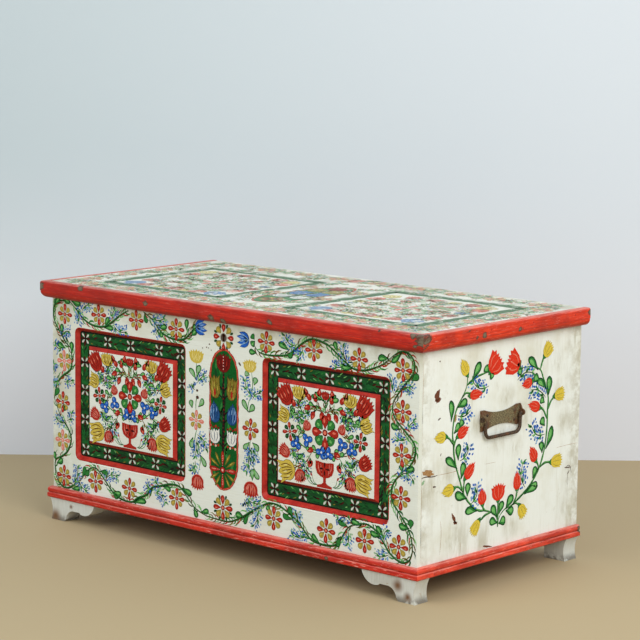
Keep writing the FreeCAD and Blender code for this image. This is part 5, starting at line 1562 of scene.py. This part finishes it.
def lid_bouquet(coat):
    """What fills a frame of the lid: a rosette in a ring of leaves and sprays, and tulips along the frame."""
    for k in range(LID_RAYS):
        angle = 2 * math.pi * k / LID_RAYS
        root = beside(0, 0, angle, LID_RAY_START)
        tip = beside(0, 0, angle + 0.2, wobble(LID_RAY_END))
        if k % 2:
            spray(coat, *root, *tip, 0.2, LID_SPECKS, 6)
        else:
            ribbon(coat, arched(*root, *tip, -0.15), 4, "deep_green", 0)
            for foot, point in LID_RAY_LEAVES:
                leaf(coat, *beside(0, 0, angle, *foot), *beside(0, 0, angle, *point))
    half_x, half_y = LID_RING_HALF
    for k in range(LID_RING):
        angle = 2 * math.pi * k / LID_RING
        spot = (half_x * math.cos(angle), half_y * math.sin(angle))
        spray(coat, *spot, *beside(*spot, angle + 1.6, 34), 0.2, LID_SPECKS, 5)
    rosette(coat, 0, 0, 42, ("bright_red", "green"), 1)
    for side in (-1, 1):
        rosette(coat, side * 98, 2, 26, ("red", "deep_green"), 1)
        rosette(coat, side * 40, 62 * side, 22, ("red", "ochre"), 1)
    for x, y, angle, length, width, paint, shares in LID_TULIPS:
        tulip(coat, x, y, angle, length, width, paint, EDGES[paint][0], 1, 0.0, shares, 4)


# The garland round the lid, in mm: half its length and depth, its vine's swing and the length of a wave
GARLAND_HALF = (547, 246)
GARLAND_SWING = 17
GARLAND_WAVE = 124
GARLAND_ROSETTE_RADIUS = 29
# The sprig on each side of a rosette, in mm along the vine and across it: its root, the tip of its leaf and
# those of its sprays, from the same middle
SPRIG_ROOT = (34, 6)
SPRIG_LEAF_TIP = (57.8, 16)
SPRIG_SPRAY_TIPS = ((44.2, 24), (44.2, -22))
# Place, angle, length, width, paint and lines of the two tulips behind the medallion
GARLAND_TULIPS = ((-66, 246, 100, 50, 40, "red", "pink"), (66, 246, 80, 50, 40, "red", "pink"))


def garland(coat):
    """Flowers, leaves and sprays on a waving vine, all round the lid."""
    half_x, half_y = GARLAND_HALF
    corners = ((-half_x, -half_y), (half_x, -half_y), (half_x, half_y), (-half_x, half_y))
    for (ax, ay), (bx, by) in zip(corners, corners[1:] + corners[:1]):
        length = math.hypot(bx - ax, by - ay)
        heading = math.atan2(by - ay, bx - ax)
        waves = max(2, round(length / GARLAND_WAVE))
        line = []
        for k in range(8 * waves + 1):
            aside = GARLAND_SWING * math.sin(2 * math.pi * k / 16)
            line.append(beside(ax, ay, heading, length * k / (8 * waves), aside))
        ribbon(coat, line, 4.4, "deep_green")
        thorns(coat, line, waves * 6, FLICK_PAINTS, 16, 1, 0, 3)
        for wave in range(waves):
            across = length * (wave + 0.5) / waves
            lean = 1 if wave % 2 else -1
            spot = beside(ax, ay, heading, across, lean * GARLAND_SWING * 0.1)
            rosette(coat, *spot, GARLAND_ROSETTE_RADIUS, ("bright_red", "ochre"), tilt=heading)
            for way in (1, -1):
                out, aside = SPRIG_ROOT
                root = beside(ax, ay, heading, across + way * out, lean * aside)
                tips = [beside(ax, ay, heading, across + way * far, lean * aside + way * up)
                        for far, up in (SPRIG_LEAF_TIP, *SPRIG_SPRAY_TIPS)]
                leaf(coat, *root, *tips[0])
                for tip in tips[1:]:
                    spray(coat, *root, *tip, 0.15, LID_SPECKS, 5.5)
    for place in GARLAND_TULIPS:
        tulip(coat, *place, shares=JAGGED_SHARES)


# Putting it together

def give(material, *names):
    for name in names:
        slots = NODES[name].data.materials
        slots.clear()
        slots.append(material)


def finish_nodes():
    give(painted_front("white_oil_paint_on_front"), "front_facing", "front_field_left", "front_field_right")
    give(painted_green("green_oil_paint_in_panels"), "front_board")
    for side, sign in (("right", 1), ("left", -1)):
        paint = painted_board(f"white_oil_paint_on_{side}_end", END_GROUND, END_STAIN, 1, (0, sign), 2, 0.76,
                              0.7, END_STAINS)
        give(paint, f"{side}_end_lower", f"{side}_end_upper")
    give(painted_board("worn_white_oil_paint_on_lid", LID_WHITE_WITH_PAINTED_SHEEN, "#BDB9A2", 0, (2, 1), 0, 0.66, 0.8),
         "lid_board_front", "lid_board_middle", "lid_board_rear")
    give(painted_feet("white_oil_paint_on_feet"), "foot_front_left", "foot_front_right", "foot_rear_left",
         "foot_rear_right")
    along_front, along_ends = drawn_out(0, 14), drawn_out(1, 14)
    # One red in a shaded and a lit copy: painted shade darkens the front's reds, painted light brightens the
    # ends' reds
    give(painted_red("red_oil_paint_with_painted_shade_along_front", along_front, "#B41A0C", "#D42C16", 0.18),
         "lid_moulding_front", "lid_nails")
    give(painted_red("scratched_red_oil_paint_with_painted_shade_along_front", along_front, "#C22414", "#DC3620", 0.95),
         "plinth_front_moulding", "plinth_nails")
    give(painted_red("red_oil_paint_with_painted_light_along_ends", along_ends, "#D2300F", "#EC421E", 0.5),
         "lid_moulding_left", "lid_moulding_right")
    give(painted_red("scratched_red_oil_paint_with_painted_light_along_ends", along_ends, "#E04028", "#F65236", 0.8),
         "plinth_left_moulding", "plinth_right_moulding")
    give(painted_back("pine_back_with_painted_tails"), "back_board_lower", "back_board_upper")
    give(bare_pine("bare_pine_lengthwise", 0), "bottom_board_front", "bottom_board_middle",
         "bottom_board_rear")
    give(bare_pine("bare_pine_across", 1), "till_front", "till_bottom", "foot_pegs")
    give(forged_iron("browned_forged_iron", "#67503C", "#2E2118", "#7A4A2C", 0.06), "hinge_strap_left",
         "hinge_strap_right", "hinge_leaf_left", "hinge_leaf_right", "hinge_pin_left", "hinge_pin_right",
         "leaf_nails", "lid_iron_nails", "lock_case", "lock_bolt", "lock_staple", "lock_nails", "case_nails",
         "plate_nails", "bail_left", "bail_right")
    give(forged_iron("old_paint_on_sheet_iron", "#A2946C", "#4C4230", "#83502A", 0.1, 34),
         "handle_plate_left", "handle_plate_right")


# The way that a coat's own X and Y run: on the front, on each end and on the lid
ON_FRONT = ((1, 0, 0), (0, 0, 1))
ON_RIGHT_END = ((0, 1, 0), (0, 0, 1))
ON_LEFT_END = ((0, -1, 0), (0, 0, 1))
ON_LID = ((1, 0, 0), (0, 1, 0))


def paint_flowers():
    case_low, case_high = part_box("front_facing")
    face = (0, case_low.y, 0)
    windows = [(cx, PANEL_LEVEL, *OPENING_HALF) for cx in PANEL_MIDDLES]
    front = Coat("front_flowers", "chest", face, ON_FRONT, FRONT_LIMITS, WHITE_GROUND, "white_paint",
                 windows=windows)
    paint_front(front)
    for cx in PANEL_MIDDLES:
        bouquet(Shifted(front, cx, PANEL_LEVEL), FIELD_DEPTH)
    front.finish()
    sunk = Coat("panel_border_flowers", "chest", face, ON_FRONT, FRONT_LIMITS, MOAT_GROUND, "green_paint")
    moat(sunk, 0)
    moat(sunk, 1)
    sunk.finish()
    middle = (case_low.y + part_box("back_board_upper")[1].y) / 2
    right = Coat("right_end_wreath", "chest", (case_high.x, middle, 0), ON_RIGHT_END, END_LIMITS, END_GROUND,
                 "white_paint")
    paint_end(right)
    for place in END_CHIPS:
        chip(right, *place)
    right.finish()
    left = Coat("left_end_wreath", "chest", (case_low.x, middle, 0), ON_LEFT_END, END_LIMITS, END_GROUND,
                "white_paint")
    paint_end(left)
    left.finish()
    top = (0, 0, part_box("lid_board_front")[1].z)
    lid = Coat("lid_flowers", "lid", top, ON_LID, LID_LIMITS, LID_WHITE_WITH_PAINTED_SHEEN, "lid_paint", LID_FLOWERS_FADE_SHARE,
               LID_COAT_STEP)
    frames = Coat("lid_frames", "lid", top, ON_LID, LID_LIMITS, LID_WHITE_WITH_PAINTED_SHEEN, "lid_paint",
                  LID_FRAMES_FADE_SHARE, LID_COAT_STEP)
    paint_lid(lid, frames)
    frames.finish()
    lid.finish()


add_camera()
add_stage()
add_light()
finish_nodes()
paint_flowers()
